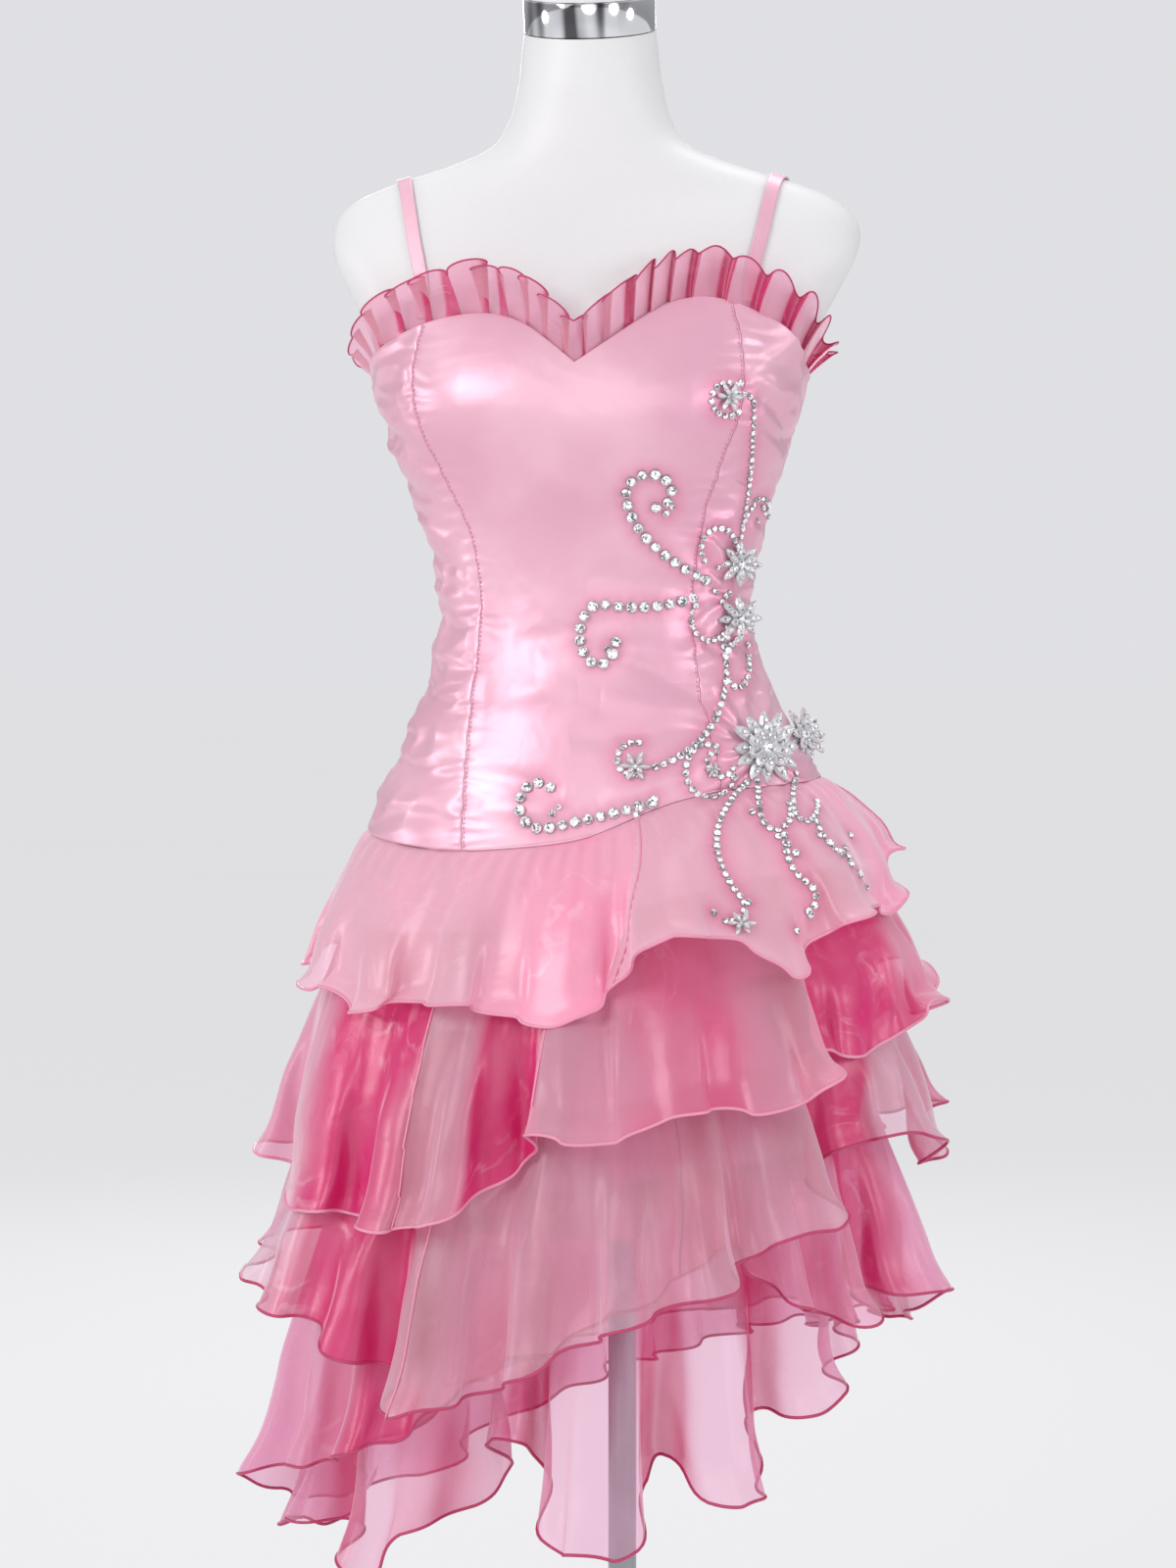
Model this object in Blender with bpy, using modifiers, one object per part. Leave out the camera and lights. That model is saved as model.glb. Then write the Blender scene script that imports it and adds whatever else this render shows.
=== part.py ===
"""Short prom dress with five wavy organza flounces, on a closed limbless dress form and stand.

Metres, +Z up. The origin is the middle of the base's underside, on the pole's axis. The front of
the dress faces -Y, and +X is the viewer's right. Angles run round the body in degrees: 0 is the
front, 90 the viewer's right, 180 the back.
"""
import bisect
import math

import bmesh
import bpy
from mathutils import Matrix, Vector
from mathutils.bvhtree import BVHTree

MM = 0.001

# Cloth and gaps
WALL = 1.4 * MM
SEAM_GAP = 0.3 * MM
SEAM_DROP = 1.2 * MM       # the foundation's top edge below the waist seam
BODY_EASE = 4.0 * MM       # middle of the cloth out from the form
HIP_EASE = 4.0 * MM        # how much further out the foundation skirt hangs at the hip
HIP_EASE_FALL = 50 * MM    # the drop in which it gets there
LAYER_STEP = 1.7 * MM      # middle of one cloth to the middle of the next, at a sewn edge
FLOUNCE_ROOM = 9.0 * MM    # least room between two flounces
UNDER_SPREAD = 0.65        # how fast a lower flounce may spread below the hem above it
PANEL_FOOT = 880 * MM      # heights at which a panel's seams are read for its bottom and top edge
PANEL_TOP = 1220 * MM
SKIRT_REACH = 150 * MM     # reach at which the gap between two lengths of the skirt is set
FLOUNCE_AXIS_TOP = 830 * MM  # above it a flounce is round the body's own middle
FLARE_POWER = 0.7          # how the flare and the folds grow down a flounce
FOLD_POWER = 1.4
ROOM_GROWTH = 6            # the full room is there after one sixth of the drop
EVENING_TURNS = (-24, -16, -8, 0, 8, 16, 24)  # angles over which the folds are evened out
FORM_CLOSE = 40 * MM       # a flounce keeps off the foundation to this far below its foot

# Stand
BASE_RADIUS = 175 * MM
BASE_THICK = 12 * MM
BASE_EDGE = 4 * MM
POLE_RADIUS = 11 * MM
FORM_FOOT = 560 * MM
NECK_TILT = math.radians(16)
NECK_RADIUS = 50.5 * MM
RING_HEIGHT = 26 * MM
CAP_HEIGHT = 10 * MM
CAP_EDGE = 3 * MM
NECK_CENTRE_X = -25.5 * MM
NECK_TOP = 1462 * MM
NECK_SEAT = 8 * MM         # straight end of the neck, under the ring

# Grain of the meshes
FORM_SIDES = 30
FITTING_SIDES = 24
BASE_SIDES = 32
BODICE_ROWS = 15
FLOUNCE_COLUMNS = 21
FLOUNCE_ROWS = 4
STRAP_STEPS = 34
RUFFLE_GATHERS = 40
RUFFLE_FOOT_GAP = 1.6 * MM
RUFFLE_RISE = 32 * MM
RUFFLE_LEAN = 15 * MM
RUFFLE_WAVE = 5.0 * MM
RUFFLE_RIPPLE = 2 * MM     # how far the gathers lift and dip its top edge
RUFFLE_TRIM = 0.15         # degrees left free at each end of a length
RUFFLE_SIDE_DROP = 0.45    # share by which it is lower at the side and at the dip
RUFFLE_DIP_DROP = 0.25
RUFFLE_DIP_SPREAD = 14     # degrees
RUFFLE_FRONT_LEAN = 0.6
RUFFLE_DIP_LEAN = 0.4

# Form and body sections: height, middle across, half width, front depth, back depth (mm)
FORM_SECTIONS = [
    (560, -12, 158, 100, 104),
    (640, -12, 172, 112, 118),
    (720, -12, 184, 120, 130),
    (790, -12, 188, 122, 134),
    (860, -12, 177, 116, 124),
    (920, -15, 150, 104, 106),
    (960, -19, 130, 94, 92),
    (1020, -20, 114, 84, 80),
    (1080, -21, 122, 88, 80),
    (1130, -24, 138, 100, 86),
    (1180, -25, 154, 110, 92),
    (1230, -24, 168, 101, 92),
    (1270, -23, 188, 80, 86),
    (1300, -22, 202, 66, 78),
    (1322, -22, 202, 56, 68),
    (1340, -24, 186, 48, 62),
    (1354, -25, 152, 46, 60),
    (1366, -25, 112, 46, 58),
    (1380, -25, 78, 47, 56),
    (1400, -25, 63, 48, 54),
    (1430, -25, 55, 50, 52),
    (1455, -25.5, 52, 50, 51),
]
SECTION_POWER = 2.35
BUST_HEIGHT = 1180 * MM
BUST_ANGLE = 36
BUST_RISE = 15 * MM
BUST_SPREAD = 28
BUST_DIP = 0.35
BUST_TALL = 55 * MM

# Neck edge of the bodice: angle, height (mm). The two sides meet in a point at the dip.
DIP_ANGLE = 0
NECK_LEFT = [(-180, 1195), (-130, 1194), (-90, 1199), (-70, 1222), (-50, 1243), (-35, 1247),
             (-20, 1238), (-8, 1222), (DIP_ANGLE, 1209)]
NECK_RIGHT = [(DIP_ANGLE, 1209), (12, 1226), (25, 1243), (38, 1256), (50, 1258), (65, 1240),
              (80, 1214), (90, 1204), (130, 1196), (180, 1195)]
# Dropped waist seam: angle, height (mm)
WAIST_SEAM = [(-170, 866), (-135, 864), (-90, 860), (-50, 848), (-20, 852), (0, 860),
              (25, 882), (45, 893), (90, 899), (135, 890), (170, 872)]
# Princess seam: height (mm), angle either side of the front
PRINCESS_SEAM = [(840, 41), (920, 45), (1010, 48), (1080, 49), (1150, 51), (1270, 55)]
SIDE_SEAM_ANGLE = 92

# Flounces, outermost first. Seam rows: angle, height (mm) on the foundation skirt.
# Hem rows, one for each fold and hollow: angle, reach from the body's axis (mm), height (mm).
FLOUNCE_SEAMS = [
    WAIST_SEAM,
    [(-150, 795), (-60, 785), (0, 800), (60, 832), (120, 825)],
    [(-150, 720), (-60, 712), (0, 725), (60, 760), (120, 755)],
    [(-150, 650), (-60, 645), (0, 655), (60, 690), (120, 685)],
    [(-150, 595), (-60, 590), (0, 596), (60, 615), (120, 612)],
]
FLOUNCE_HEMS = [
    [(-154, 236, 750), (-141, 214, 757), (-127, 240, 745), (-113, 222, 752), (-99, 254, 751),
     (-86, 232, 743), (-74, 240, 737), (-62, 218, 733), (-51, 228, 724), (-41, 200, 733),
     (-30, 214, 740), (-19, 190, 727), (-8, 206, 728), (2, 204, 735), (8, 188, 756),
     (13, 232, 784), (20, 240, 792), (28, 226, 789), (36, 238, 772), (42, 246, 763),
     (48, 228, 788), (55, 254, 800), (63, 240, 806), (72, 229, 797), (81, 236, 806),
     (92, 216, 826), (103, 230, 838), (116, 214, 822), (129, 236, 802), (142, 212, 806),
     (154, 234, 781), (167, 212, 784), (180, 233, 762), (193, 212, 768)],
    [(-155, 258, 625), (-143, 232, 626), (-130, 264, 605), (-117, 244, 606), (-105, 268, 597),
     (-94, 282, 600), (-84, 246, 586), (-73, 258, 577), (-61, 256, 575), (-50, 226, 574),
     (-40, 250, 570), (-33, 226, 576), (-27, 236, 581), (-20, 194, 606), (-13, 182, 626),
     (-7, 234, 650), (3, 250, 646), (12, 238, 656), (20, 244, 670), (28, 232, 672),
     (36, 246, 666), (44, 264, 686), (50, 228, 702), (58, 242, 697), (66, 244, 708),
     (75, 276, 732), (86, 240, 716), (96, 258, 736), (107, 246, 750), (118, 228, 736),
     (130, 258, 716), (143, 230, 706), (156, 256, 681), (168, 232, 676), (181, 254, 650),
     (193, 230, 650)],
    [(-156, 278, 535), (-143, 252, 531), (-130, 284, 522), (-117, 260, 524), (-104, 292, 518),
     (-94, 272, 512), (-84, 288, 508), (-75, 268, 503), (-66, 276, 500), (-57, 246, 490),
     (-50, 254, 474), (-42, 222, 466), (-34, 250, 438), (-26, 244, 446), (-19, 216, 457),
     (-10, 230, 472), (0, 220, 496), (9, 246, 513), (18, 234, 532), (26, 252, 538),
     (31, 228, 556), (38, 258, 575), (45, 266, 577), (51, 216, 606), (57, 234, 632),
     (65, 256, 642), (73, 273, 626), (82, 246, 603), (91, 266, 608), (101, 254, 625),
     (111, 276, 632), (122, 246, 616), (134, 276, 600), (146, 248, 590), (158, 276, 575),
     (169, 250, 565), (181, 274, 550), (192, 248, 545)],
    [(-155, 224, 392), (-143, 250, 371), (-132, 226, 352), (-121, 252, 330), (-111, 232, 312),
     (-102, 260, 310), (-94, 266, 328), (-86, 284, 341), (-77, 248, 362), (-68, 254, 372),
     (-60, 230, 384), (-52, 238, 394), (-44, 212, 408), (-34, 210, 432), (-24, 190, 460),
     (-12, 200, 482), (0, 184, 500), (12, 204, 521), (24, 194, 545), (32, 212, 566),
     (38, 204, 536), (44, 238, 516), (50, 222, 508), (56, 252, 500), (63, 222, 516),
     (71, 254, 512), (78, 270, 512), (88, 236, 485), (98, 244, 470), (109, 218, 462),
     (121, 246, 458), (133, 222, 452), (146, 248, 446), (158, 224, 440), (170, 246, 430),
     (181, 222, 420), (193, 246, 406)],
    [(-155, 182, 360), (-143, 212, 340), (-131, 190, 322), (-118, 236, 304), (-106, 226, 291),
     (-94, 262, 298), (-85, 240, 312), (-77, 250, 322), (-68, 206, 322), (-60, 222, 304),
     (-52, 208, 296), (-45, 200, 330), (-38, 152, 350), (-32, 134, 380), (-26, 172, 408),
     (-19, 178, 412), (-13, 152, 385), (-7, 200, 350), (2, 220, 346), (11, 208, 344),
     (17, 156, 378), (23, 154, 396), (28, 204, 372), (36, 214, 376), (42, 192, 386),
     (48, 164, 420), (55, 200, 426), (63, 206, 438), (71, 184, 452), (81, 202, 462),
     (92, 180, 468), (104, 200, 464), (117, 178, 452), (130, 206, 446), (143, 180, 440),
     (155, 206, 425), (167, 180, 410), (180, 204, 395), (192, 178, 380)],
]
FOUNDATION_FOOT = 556 * MM

# Straps: turn about the shoulder (0 is straight out to the front), place across (mm)
STRAP_CENTRE = Vector((0, 5 * MM, 1225 * MM))
STRAP_HALF_WIDTH = 5 * MM
STRAP_EASE = 2.9 * MM
STRAP_LEFT = [(14, -143), (38, -147), (62, -157), (90, -170), (120, -166), (155, -158), (193, -150)]
STRAP_RIGHT = [(22, 101), (42, 104), (62, 112), (90, 122), (120, 118), (155, 112), (193, 104)]

# Brooches: name, angle, height, radius, petals, space behind the back (mm)
BROOCHES = [
    ("brooch_hip", 60, 924, 27, 12, 1.5),
    ("brooch_side", 85, 930, 21, 9, 1.0),
    ("brooch_waist_upper", 66, 1062, 17, 8, 0.8),
    ("brooch_waist_lower", 66, 1020, 17, 8, 0.8),
    ("rosette_bust", 47, 1184, 11, 6, 0.4),
    ("rosette_front", 17, 911, 11, 6, 0.4),
]
BROOCH_BACK = 1.2 * MM
BROOCH_CROWN = 6 * MM
BROOCH_TIPS = (0.98, 0.66)   # how far the tips and the notches lie out, as shares of the radius
BROOCH_LIFTS = (0.75, 0.35)  # how high the cast stands on its ridges and between them
BROOCH_KNOT = 0.45           # where those heights are, as a share of the radius


def clear_scene():
    for thing in list(bpy.data.objects):
        bpy.data.objects.remove(thing, do_unlink=True)


def new_collection(name):
    group = bpy.data.collections.new(name)
    bpy.context.scene.collection.children.link(group)
    return group


def material(name, colour, roughness, metallic=0.0, alpha=1.0):
    made = bpy.data.materials.new(name)
    made.use_nodes = True
    made.diffuse_color = (*colour, alpha)
    shader = made.node_tree.nodes["Principled BSDF"]
    shader.inputs["Base Color"].default_value = (*colour, 1.0)
    shader.inputs["Roughness"].default_value = roughness
    shader.inputs["Metallic"].default_value = metallic
    shader.inputs["Alpha"].default_value = alpha
    return made


def place_in_collection(name, mesh, finish):
    thing = bpy.data.objects.new(name, mesh)
    mesh.materials.append(finish)
    DRESS.objects.link(thing)
    return thing


def smooth_row(rows, at, column=1, period=None):
    """Reads a column of a table at any place, on a smooth curve through its rows."""
    if period:
        first = rows[0][0]
        at = first + (at - first) % period
        rows = [tuple_shift(rows[-1], -period), *rows, tuple_shift(rows[0], period),
                tuple_shift(rows[1], period)]
    places = [row[0] for row in rows]
    at = min(max(at, places[0]), places[-1])
    low = min(max(bisect.bisect_right(places, at) - 1, 0), len(rows) - 2)
    span = places[low + 1] - places[low]
    share = (at - places[low]) / span

    def slope(index):
        before = max(index - 1, 0)
        after = min(index + 1, len(rows) - 1)
        return (rows[after][column] - rows[before][column]) / (places[after] - places[before])

    start = rows[low][column]
    end = rows[low + 1][column]
    square = share * share
    cube = square * share
    return ((2 * cube - 3 * square + 1) * start + (cube - 2 * square + share) * span * slope(low)
            + (3 * square - 2 * cube) * end + (cube - square) * span * slope(low + 1))


def tuple_shift(row, turn):
    return (row[0] + turn, *row[1:])


def soft_least(first, second, blend=8 * MM):
    near = max(blend - abs(first - second), 0) / blend
    return min(first, second) - near * near * blend / 4


def soft_most(first, second, blend=8 * MM):
    return -soft_least(-first, -second, blend)


def turn_apart(first, second):
    return (first - second + 180) % 360 - 180


def middle_across(height):
    return smooth_row(FORM_SECTIONS, height / MM, 1) * MM


def skin_reach(angle, height):
    """How far the form's skin lies from its middle, in one direction at one height."""
    half_width = smooth_row(FORM_SECTIONS, height / MM, 2) * MM
    sine = math.sin(math.radians(angle))
    cosine = math.cos(math.radians(angle))
    depth = smooth_row(FORM_SECTIONS, height / MM, 3 if cosine > 0 else 4) * MM
    reach = (abs(sine / half_width) ** SECTION_POWER
             + abs(cosine / depth) ** SECTION_POWER) ** (-1 / SECTION_POWER)
    from_front = abs(turn_apart(angle, 0))
    across = max(from_front - BUST_ANGLE, 0) / BUST_SPREAD
    between = 1 - BUST_DIP * max(1 - (from_front / BUST_ANGLE) ** 2, 0)
    up = (height - BUST_HEIGHT) / BUST_TALL
    return reach + BUST_RISE * between * math.exp(-across * across - up * up)


def around(angle, reach, height, middle=None):
    turned = math.radians(angle)
    across = middle_across(height) if middle is None else middle
    return Vector((across + reach * math.sin(turned), -reach * math.cos(turned), height))


def on_body(angle, height, ease):
    return around(angle, skin_reach(angle, height) + ease, height)


def loft(name, rings, finish):
    """A closed solid through rings of equally many points, with a flat cap at each end."""
    shape = bmesh.new()
    loops = [[shape.verts.new(point) for point in ring] for ring in rings]
    for lower, upper in zip(loops, loops[1:]):
        for index in range(len(lower)):
            after = (index + 1) % len(lower)
            shape.faces.new((lower[index], lower[after], upper[after], upper[index]))
    shape.faces.new(reversed(loops[0]))
    shape.faces.new(loops[-1])
    bmesh.ops.recalc_face_normals(shape, faces=shape.faces)
    return finish_mesh(name, shape, finish)


def finish_mesh(name, shape, finish, sharp=35):
    mesh = bpy.data.meshes.new(name)
    shape.to_mesh(mesh)
    shape.free()
    mesh.shade_smooth()
    mesh.set_sharp_from_angle(angle=math.radians(sharp))
    return place_in_collection(name, mesh, finish)


def cloth(name, columns, rows, place, finish, wall=WALL):
    """A wall of cloth: a grid moved by a rule of its two shares, with thickness."""
    shape = bmesh.new()
    bmesh.ops.create_grid(shape, x_segments=columns, y_segments=rows, size=0.5)
    for corner in shape.verts:
        corner.co = place(corner.co.x + 0.5, corner.co.y + 0.5)
    piece = finish_mesh(name, shape, finish, sharp=60)
    thick = piece.modifiers.new("thickness", "SOLIDIFY")
    thick.thickness = wall
    thick.offset = 0
    return piece


def turned(name, profile, sides, finish):
    """A turned solid from its outer profile, top to bottom, both ends on the axis."""
    shape = bmesh.new()
    corners = [shape.verts.new((radius, 0, height)) for radius, height in profile]
    for upper, lower in zip(corners, corners[1:]):
        shape.edges.new((upper, lower))
    piece = finish_mesh(name, shape, finish)
    screw = piece.modifiers.new("turn", "SCREW")
    screw.steps = sides
    screw.render_steps = sides
    screw.use_merge_vertices = True
    screw.merge_threshold = 0.00001
    return piece


def torso():
    rings = []
    heights = [row[0] * MM for row in FORM_SECTIONS]
    heights += [890 * MM, 990 * MM, 1050 * MM, 1105 * MM, 1155 * MM, 1205 * MM, 1250 * MM]
    for height in sorted(heights):
        ring = []
        for step in range(FORM_SIDES):
            ring.append(on_body(step * 360 / FORM_SIDES, height, 0))
        rings.append(ring)
    rise = math.tan(NECK_TILT)
    tilted = []
    for step in range(FORM_SIDES):
        point = around(step * 360 / FORM_SIDES, NECK_RADIUS, NECK_TOP, NECK_CENTRE_X)
        point.z += point.y * rise
        tilted.append(point)
    rings[-1] = [point * 0.5 + other * 0.5 for point, other in zip(rings[-1], tilted)]
    rings.append([point + Vector((0, 0, NECK_SEAT)) for point in tilted])
    return loft("form_torso", rings, WHITE_SHELL)


def neck_fittings():
    """Chrome ring and white cap, tipped forward on the neck."""
    ring_base = NECK_TOP + NECK_SEAT + 1.2 * SEAM_GAP
    tip = Matrix.Rotation(NECK_TILT, 4, "X")
    ring = turned("neck_ring", [(0, RING_HEIGHT), (NECK_RADIUS - 1 * MM, RING_HEIGHT),
                                (NECK_RADIUS, RING_HEIGHT - 1 * MM), (NECK_RADIUS, 1 * MM),
                                (NECK_RADIUS - 1 * MM, 0), (0, 0)], FITTING_SIDES, CHROME)
    cap_radius = NECK_RADIUS - 2 * MM
    cap = turned("neck_cap", [(0, CAP_HEIGHT), (cap_radius - CAP_EDGE, CAP_HEIGHT),
                              (cap_radius, CAP_HEIGHT - CAP_EDGE), (cap_radius, 0), (0, 0)],
                 FITTING_SIDES, WHITE_SHELL)
    seat = Matrix.Translation((NECK_CENTRE_X, 0, ring_base))
    ring.matrix_world = seat @ tip
    cap.matrix_world = seat @ tip @ Matrix.Translation((0, 0, RING_HEIGHT + SEAM_GAP))


def stand():
    turned("base_plate", [(0, BASE_THICK), (BASE_RADIUS - BASE_EDGE, BASE_THICK),
                          (BASE_RADIUS, BASE_THICK - BASE_EDGE), (BASE_RADIUS, 0), (0, 0)],
           BASE_SIDES, STEEL)
    pole_foot = BASE_THICK + SEAM_GAP
    turned("pole", [(0, FORM_FOOT - SEAM_GAP), (POLE_RADIUS, FORM_FOOT - SEAM_GAP),
                    (POLE_RADIUS, pole_foot), (0, pole_foot)], 20, STEEL)


def neck_height(angle):
    angle = turn_apart(angle, 0)
    rows = NECK_LEFT if angle < DIP_ANGLE else NECK_RIGHT
    return smooth_row(rows, angle) * MM


def waist_height(angle):
    return smooth_row(WAIST_SEAM, angle, 1, 360) * MM


def princess_angle(height):
    return smooth_row(PRINCESS_SEAM, height / MM)


def bodice_panel(name, columns, left, right):
    """One bodice panel between two seams, each an angle that depends on the height."""
    def place(across, up):
        foot = waist_height(left(PANEL_FOOT) * (1 - across) + right(PANEL_FOOT) * across)
        top = neck_height(left(PANEL_TOP) * (1 - across) + right(PANEL_TOP) * across)
        height = (foot + SEAM_GAP) * (1 - up) + (top - SEAM_GAP / 2) * up
        trim = math.degrees(SEAM_GAP / skin_reach(left(height), height))
        angle = (left(height) + trim) * (1 - across) + (right(height) - trim) * across
        return on_body(angle, height, BODY_EASE)

    cloth(name, columns, BODICE_ROWS, place, SATIN)


def bodice():
    def princess_left(height):
        return -princess_angle(height)

    def straight(angle):
        return lambda height: angle

    side_left = straight(-SIDE_SEAM_ANGLE)
    side_right = straight(SIDE_SEAM_ANGLE)
    bodice_panel("bodice_front_centre", 12, princess_left, princess_angle)
    bodice_panel("bodice_side_front_left", 5, side_left, princess_left)
    bodice_panel("bodice_side_front_right", 5, princess_angle, side_right)
    bodice_panel("bodice_back_left", 8, straight(-180), side_left)
    bodice_panel("bodice_back_right", 8, side_right, straight(180))


def strap(name, rows, form):
    """A strap over the shoulder, laid on the form's own faces."""
    skin = BVHTree.FromObject(form, bpy.context.evaluated_depsgraph_get())
    first = rows[0][0]
    last = rows[-1][0]

    def place(along, wide):
        turn = first + (last - first) * along
        across = smooth_row(rows, turn) * MM + (wide - 0.5) * 2 * STRAP_HALF_WIDTH
        start = Vector((across, STRAP_CENTRE.y, STRAP_CENTRE.z))
        out = Vector((0, -math.cos(math.radians(turn)), math.sin(math.radians(turn))))
        hit, normal, _, _ = skin.ray_cast(start, out)
        return hit + (out + normal * 2).normalized() * STRAP_EASE

    cloth(name, STRAP_STEPS, 1, place, SATIN)


def ruffle(name, first, last):
    """A length of the gathered ruffle that stands on the neck edge and leans out."""
    gathers = round(RUFFLE_GATHERS * (last - first) / 360)

    def place(along, up):
        angle = first + (last - first) * along
        angle = min(max(angle, first + RUFFLE_TRIM), last - RUFFLE_TRIM)
        toward_side = min(abs(turn_apart(angle, 0)) / 90, 1)
        near_dip = math.exp(-(turn_apart(angle, DIP_ANGLE) / RUFFLE_DIP_SPREAD) ** 2)
        rise = RUFFLE_RISE * (1 - RUFFLE_SIDE_DROP * toward_side ** 3 - RUFFLE_DIP_DROP * near_dip)
        lean = RUFFLE_LEAN * (RUFFLE_FRONT_LEAN + toward_side ** 3) * (1 - RUFFLE_DIP_LEAN * near_dip)
        wave = math.sin(2 * math.pi * angle * RUFFLE_GATHERS / 360)
        foot = neck_height(angle) + RUFFLE_FOOT_GAP
        height = foot + rise * up + wave * RUFFLE_RIPPLE * up
        out = BODY_EASE + lean * up ** 1.3 + wave * RUFFLE_WAVE * up
        spread = around(angle, skin_reach(angle, foot) + out, foot)
        return Vector((spread.x, spread.y, height))

    cloth(name, gathers * 4, 2, place, ORGANZA)


def flounce_seam_height(index, angle):
    return smooth_row(FLOUNCE_SEAMS[index], angle, 1, 360) * MM - SEAM_GAP * 2


def flounce_hem(index, angle):
    rows = FLOUNCE_HEMS[index]
    return smooth_row(rows, angle, 1, 360) * MM, smooth_row(rows, angle, 2, 360) * MM


def flounce_mean_reach(index, angle):
    """The hem's reach with its folds evened out."""
    return sum(flounce_hem(index, angle + turn)[0] for turn in EVENING_TURNS) / len(EVENING_TURNS)


def foundation_reach(angle, height):
    held = max(height, FORM_FOOT)
    below_seam = min(max((waist_height(angle) - held) / HIP_EASE_FALL, 0), 1)
    return skin_reach(angle, held) + BODY_EASE + HIP_EASE * below_seam


def flounce_reach(index, angle, height):
    """How far out one flounce hangs at an angle and height, inside the flounce above it."""
    seam = flounce_seam_height(index, angle)
    reach, hem = flounce_hem(index, angle)
    mean = flounce_mean_reach(index, angle)
    start = foundation_reach(angle, seam) + LAYER_STEP
    share = min(max((seam - height) / (seam - hem), 0), 1)
    hung = start + (mean - start) * share ** FLARE_POWER + (reach - mean) * share ** FOLD_POWER
    if index:
        above_hem = flounce_hem(index - 1, angle)[1]
        over = flounce_reach(index - 1, angle, max(height, above_hem))
        room = FLOUNCE_ROOM * min(share * ROOM_GROWTH, 1)
        spread = max(above_hem - height, 0) * UNDER_SPREAD
        hung = soft_least(hung, over - room + spread)
    if height > FORM_FOOT - FORM_CLOSE:
        hung = soft_most(hung, foundation_reach(angle, height) + LAYER_STEP, 2 * MM)
    return hung


def flounce(index, name, first, last):
    def place(along, down):
        trim = math.degrees(SEAM_GAP / SKIRT_REACH)
        angle = first + trim + (last - first - 2 * trim) * along
        seam = flounce_seam_height(index, angle)
        hem = flounce_hem(index, angle)[1]
        height = seam + (hem - seam) * down
        middle = middle_across(height if height > FLOUNCE_AXIS_TOP else FORM_FOOT)
        return around(angle, flounce_reach(index, angle, height), height, middle)

    cloth(name, FLOUNCE_COLUMNS, FLOUNCE_ROWS, place, ORGANZA)


def foundation(name, first, last):
    def place(along, down):
        trim = math.degrees(SEAM_GAP / SKIRT_REACH)
        angle = first + trim + (last - first - 2 * trim) * along
        height = (waist_height(angle) - SEAM_DROP) * (1 - down) + FOUNDATION_FOOT * down
        return around(angle, foundation_reach(angle, height), height)

    cloth(name, 8, 6, place, SATIN)


def skirt():
    sectors = [("front_left", -90, 0), ("front_right", 0, 90),
               ("back_right", 90, 180), ("back_left", 180, 270)]
    for side, first, last in sectors:
        foundation("foundation_" + side, first, last)
    for index in range(len(FLOUNCE_HEMS)):
        for side, first, last in sectors:
            flounce(index, f"flounce_{index + 1}_{side}", first, last)


def brooch(name, angle, height, radius, petals, space):
    """A cast flower of set stones, its back on the panel's own curve."""
    steps = petals * 2
    reach = skin_reach(angle, height)

    def at(turn, share, out):
        across = math.sin(turn) * radius * share
        up = math.cos(turn) * radius * share
        return on_body(angle + math.degrees(across / reach), height + up,
                       BODY_EASE + WALL / 2 + space + out)

    shape = bmesh.new()
    crown = shape.verts.new(at(0, 0, BROOCH_CROWN))
    centre = shape.verts.new(at(0, 0, 0))
    inner, outer, back = [], [], []
    for step in range(steps):
        turn = 2 * math.pi * step / steps
        share = BROOCH_TIPS[step % 2]
        lift = BROOCH_LIFTS[step % 2]
        inner.append(shape.verts.new(at(turn, BROOCH_KNOT, BROOCH_CROWN * lift)))
        outer.append(shape.verts.new(at(turn, share, BROOCH_BACK)))
        back.append(shape.verts.new(at(turn, share, 0)))
    for step in range(steps):
        after = (step + 1) % steps
        shape.faces.new((crown, inner[step], inner[after]))
        shape.faces.new((inner[step], outer[step], outer[after], inner[after]))
        shape.faces.new((outer[step], back[step], back[after], outer[after]))
        shape.faces.new((back[step], centre, back[after]))
    bmesh.ops.recalc_face_normals(shape, faces=shape.faces)
    finish_mesh(name, shape, STONES, sharp=20)


clear_scene()
DRESS = new_collection("prom_dress_on_form")
SATIN = material("satin", (0.85, 0.49, 0.60), 0.32)
ORGANZA = material("organza", (0.83, 0.30, 0.45), 0.45, alpha=0.75)
WHITE_SHELL = material("white_shell", (0.83, 0.82, 0.82), 0.4)
CHROME = material("chrome", (0.75, 0.76, 0.78), 0.12, metallic=1.0)
STEEL = material("steel", (0.35, 0.36, 0.38), 0.3, metallic=1.0)
STONES = material("set_stones", (0.80, 0.82, 0.86), 0.1, metallic=0.6)

form_torso = torso()
neck_fittings()
stand()
bodice()
strap("strap_left", STRAP_LEFT, form_torso)
strap("strap_right", STRAP_RIGHT, form_torso)
ruffle("neck_ruffle_front_left", -90, DIP_ANGLE)
ruffle("neck_ruffle_front_right", DIP_ANGLE, 90)
ruffle("neck_ruffle_back_right", 90, 180)
ruffle("neck_ruffle_back_left", 180, 270)
skirt()
for name, angle, height, radius, petals, space in BROOCHES:
    brooch(name, angle, height * MM, radius * MM, petals, space * MM)
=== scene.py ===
"""Looks of a short prom dress with wavy organza flounces on a dress form and stand.

Angles run round the body in degrees: 0 is the front, 90 the viewer's right, 180 the back.
"""

import bisect
import functools
import math
import random

import bmesh
import bpy
from mathutils import Matrix, Vector, noise
from mathutils.bvhtree import BVHTree
from mathutils.kdtree import KDTree


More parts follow.
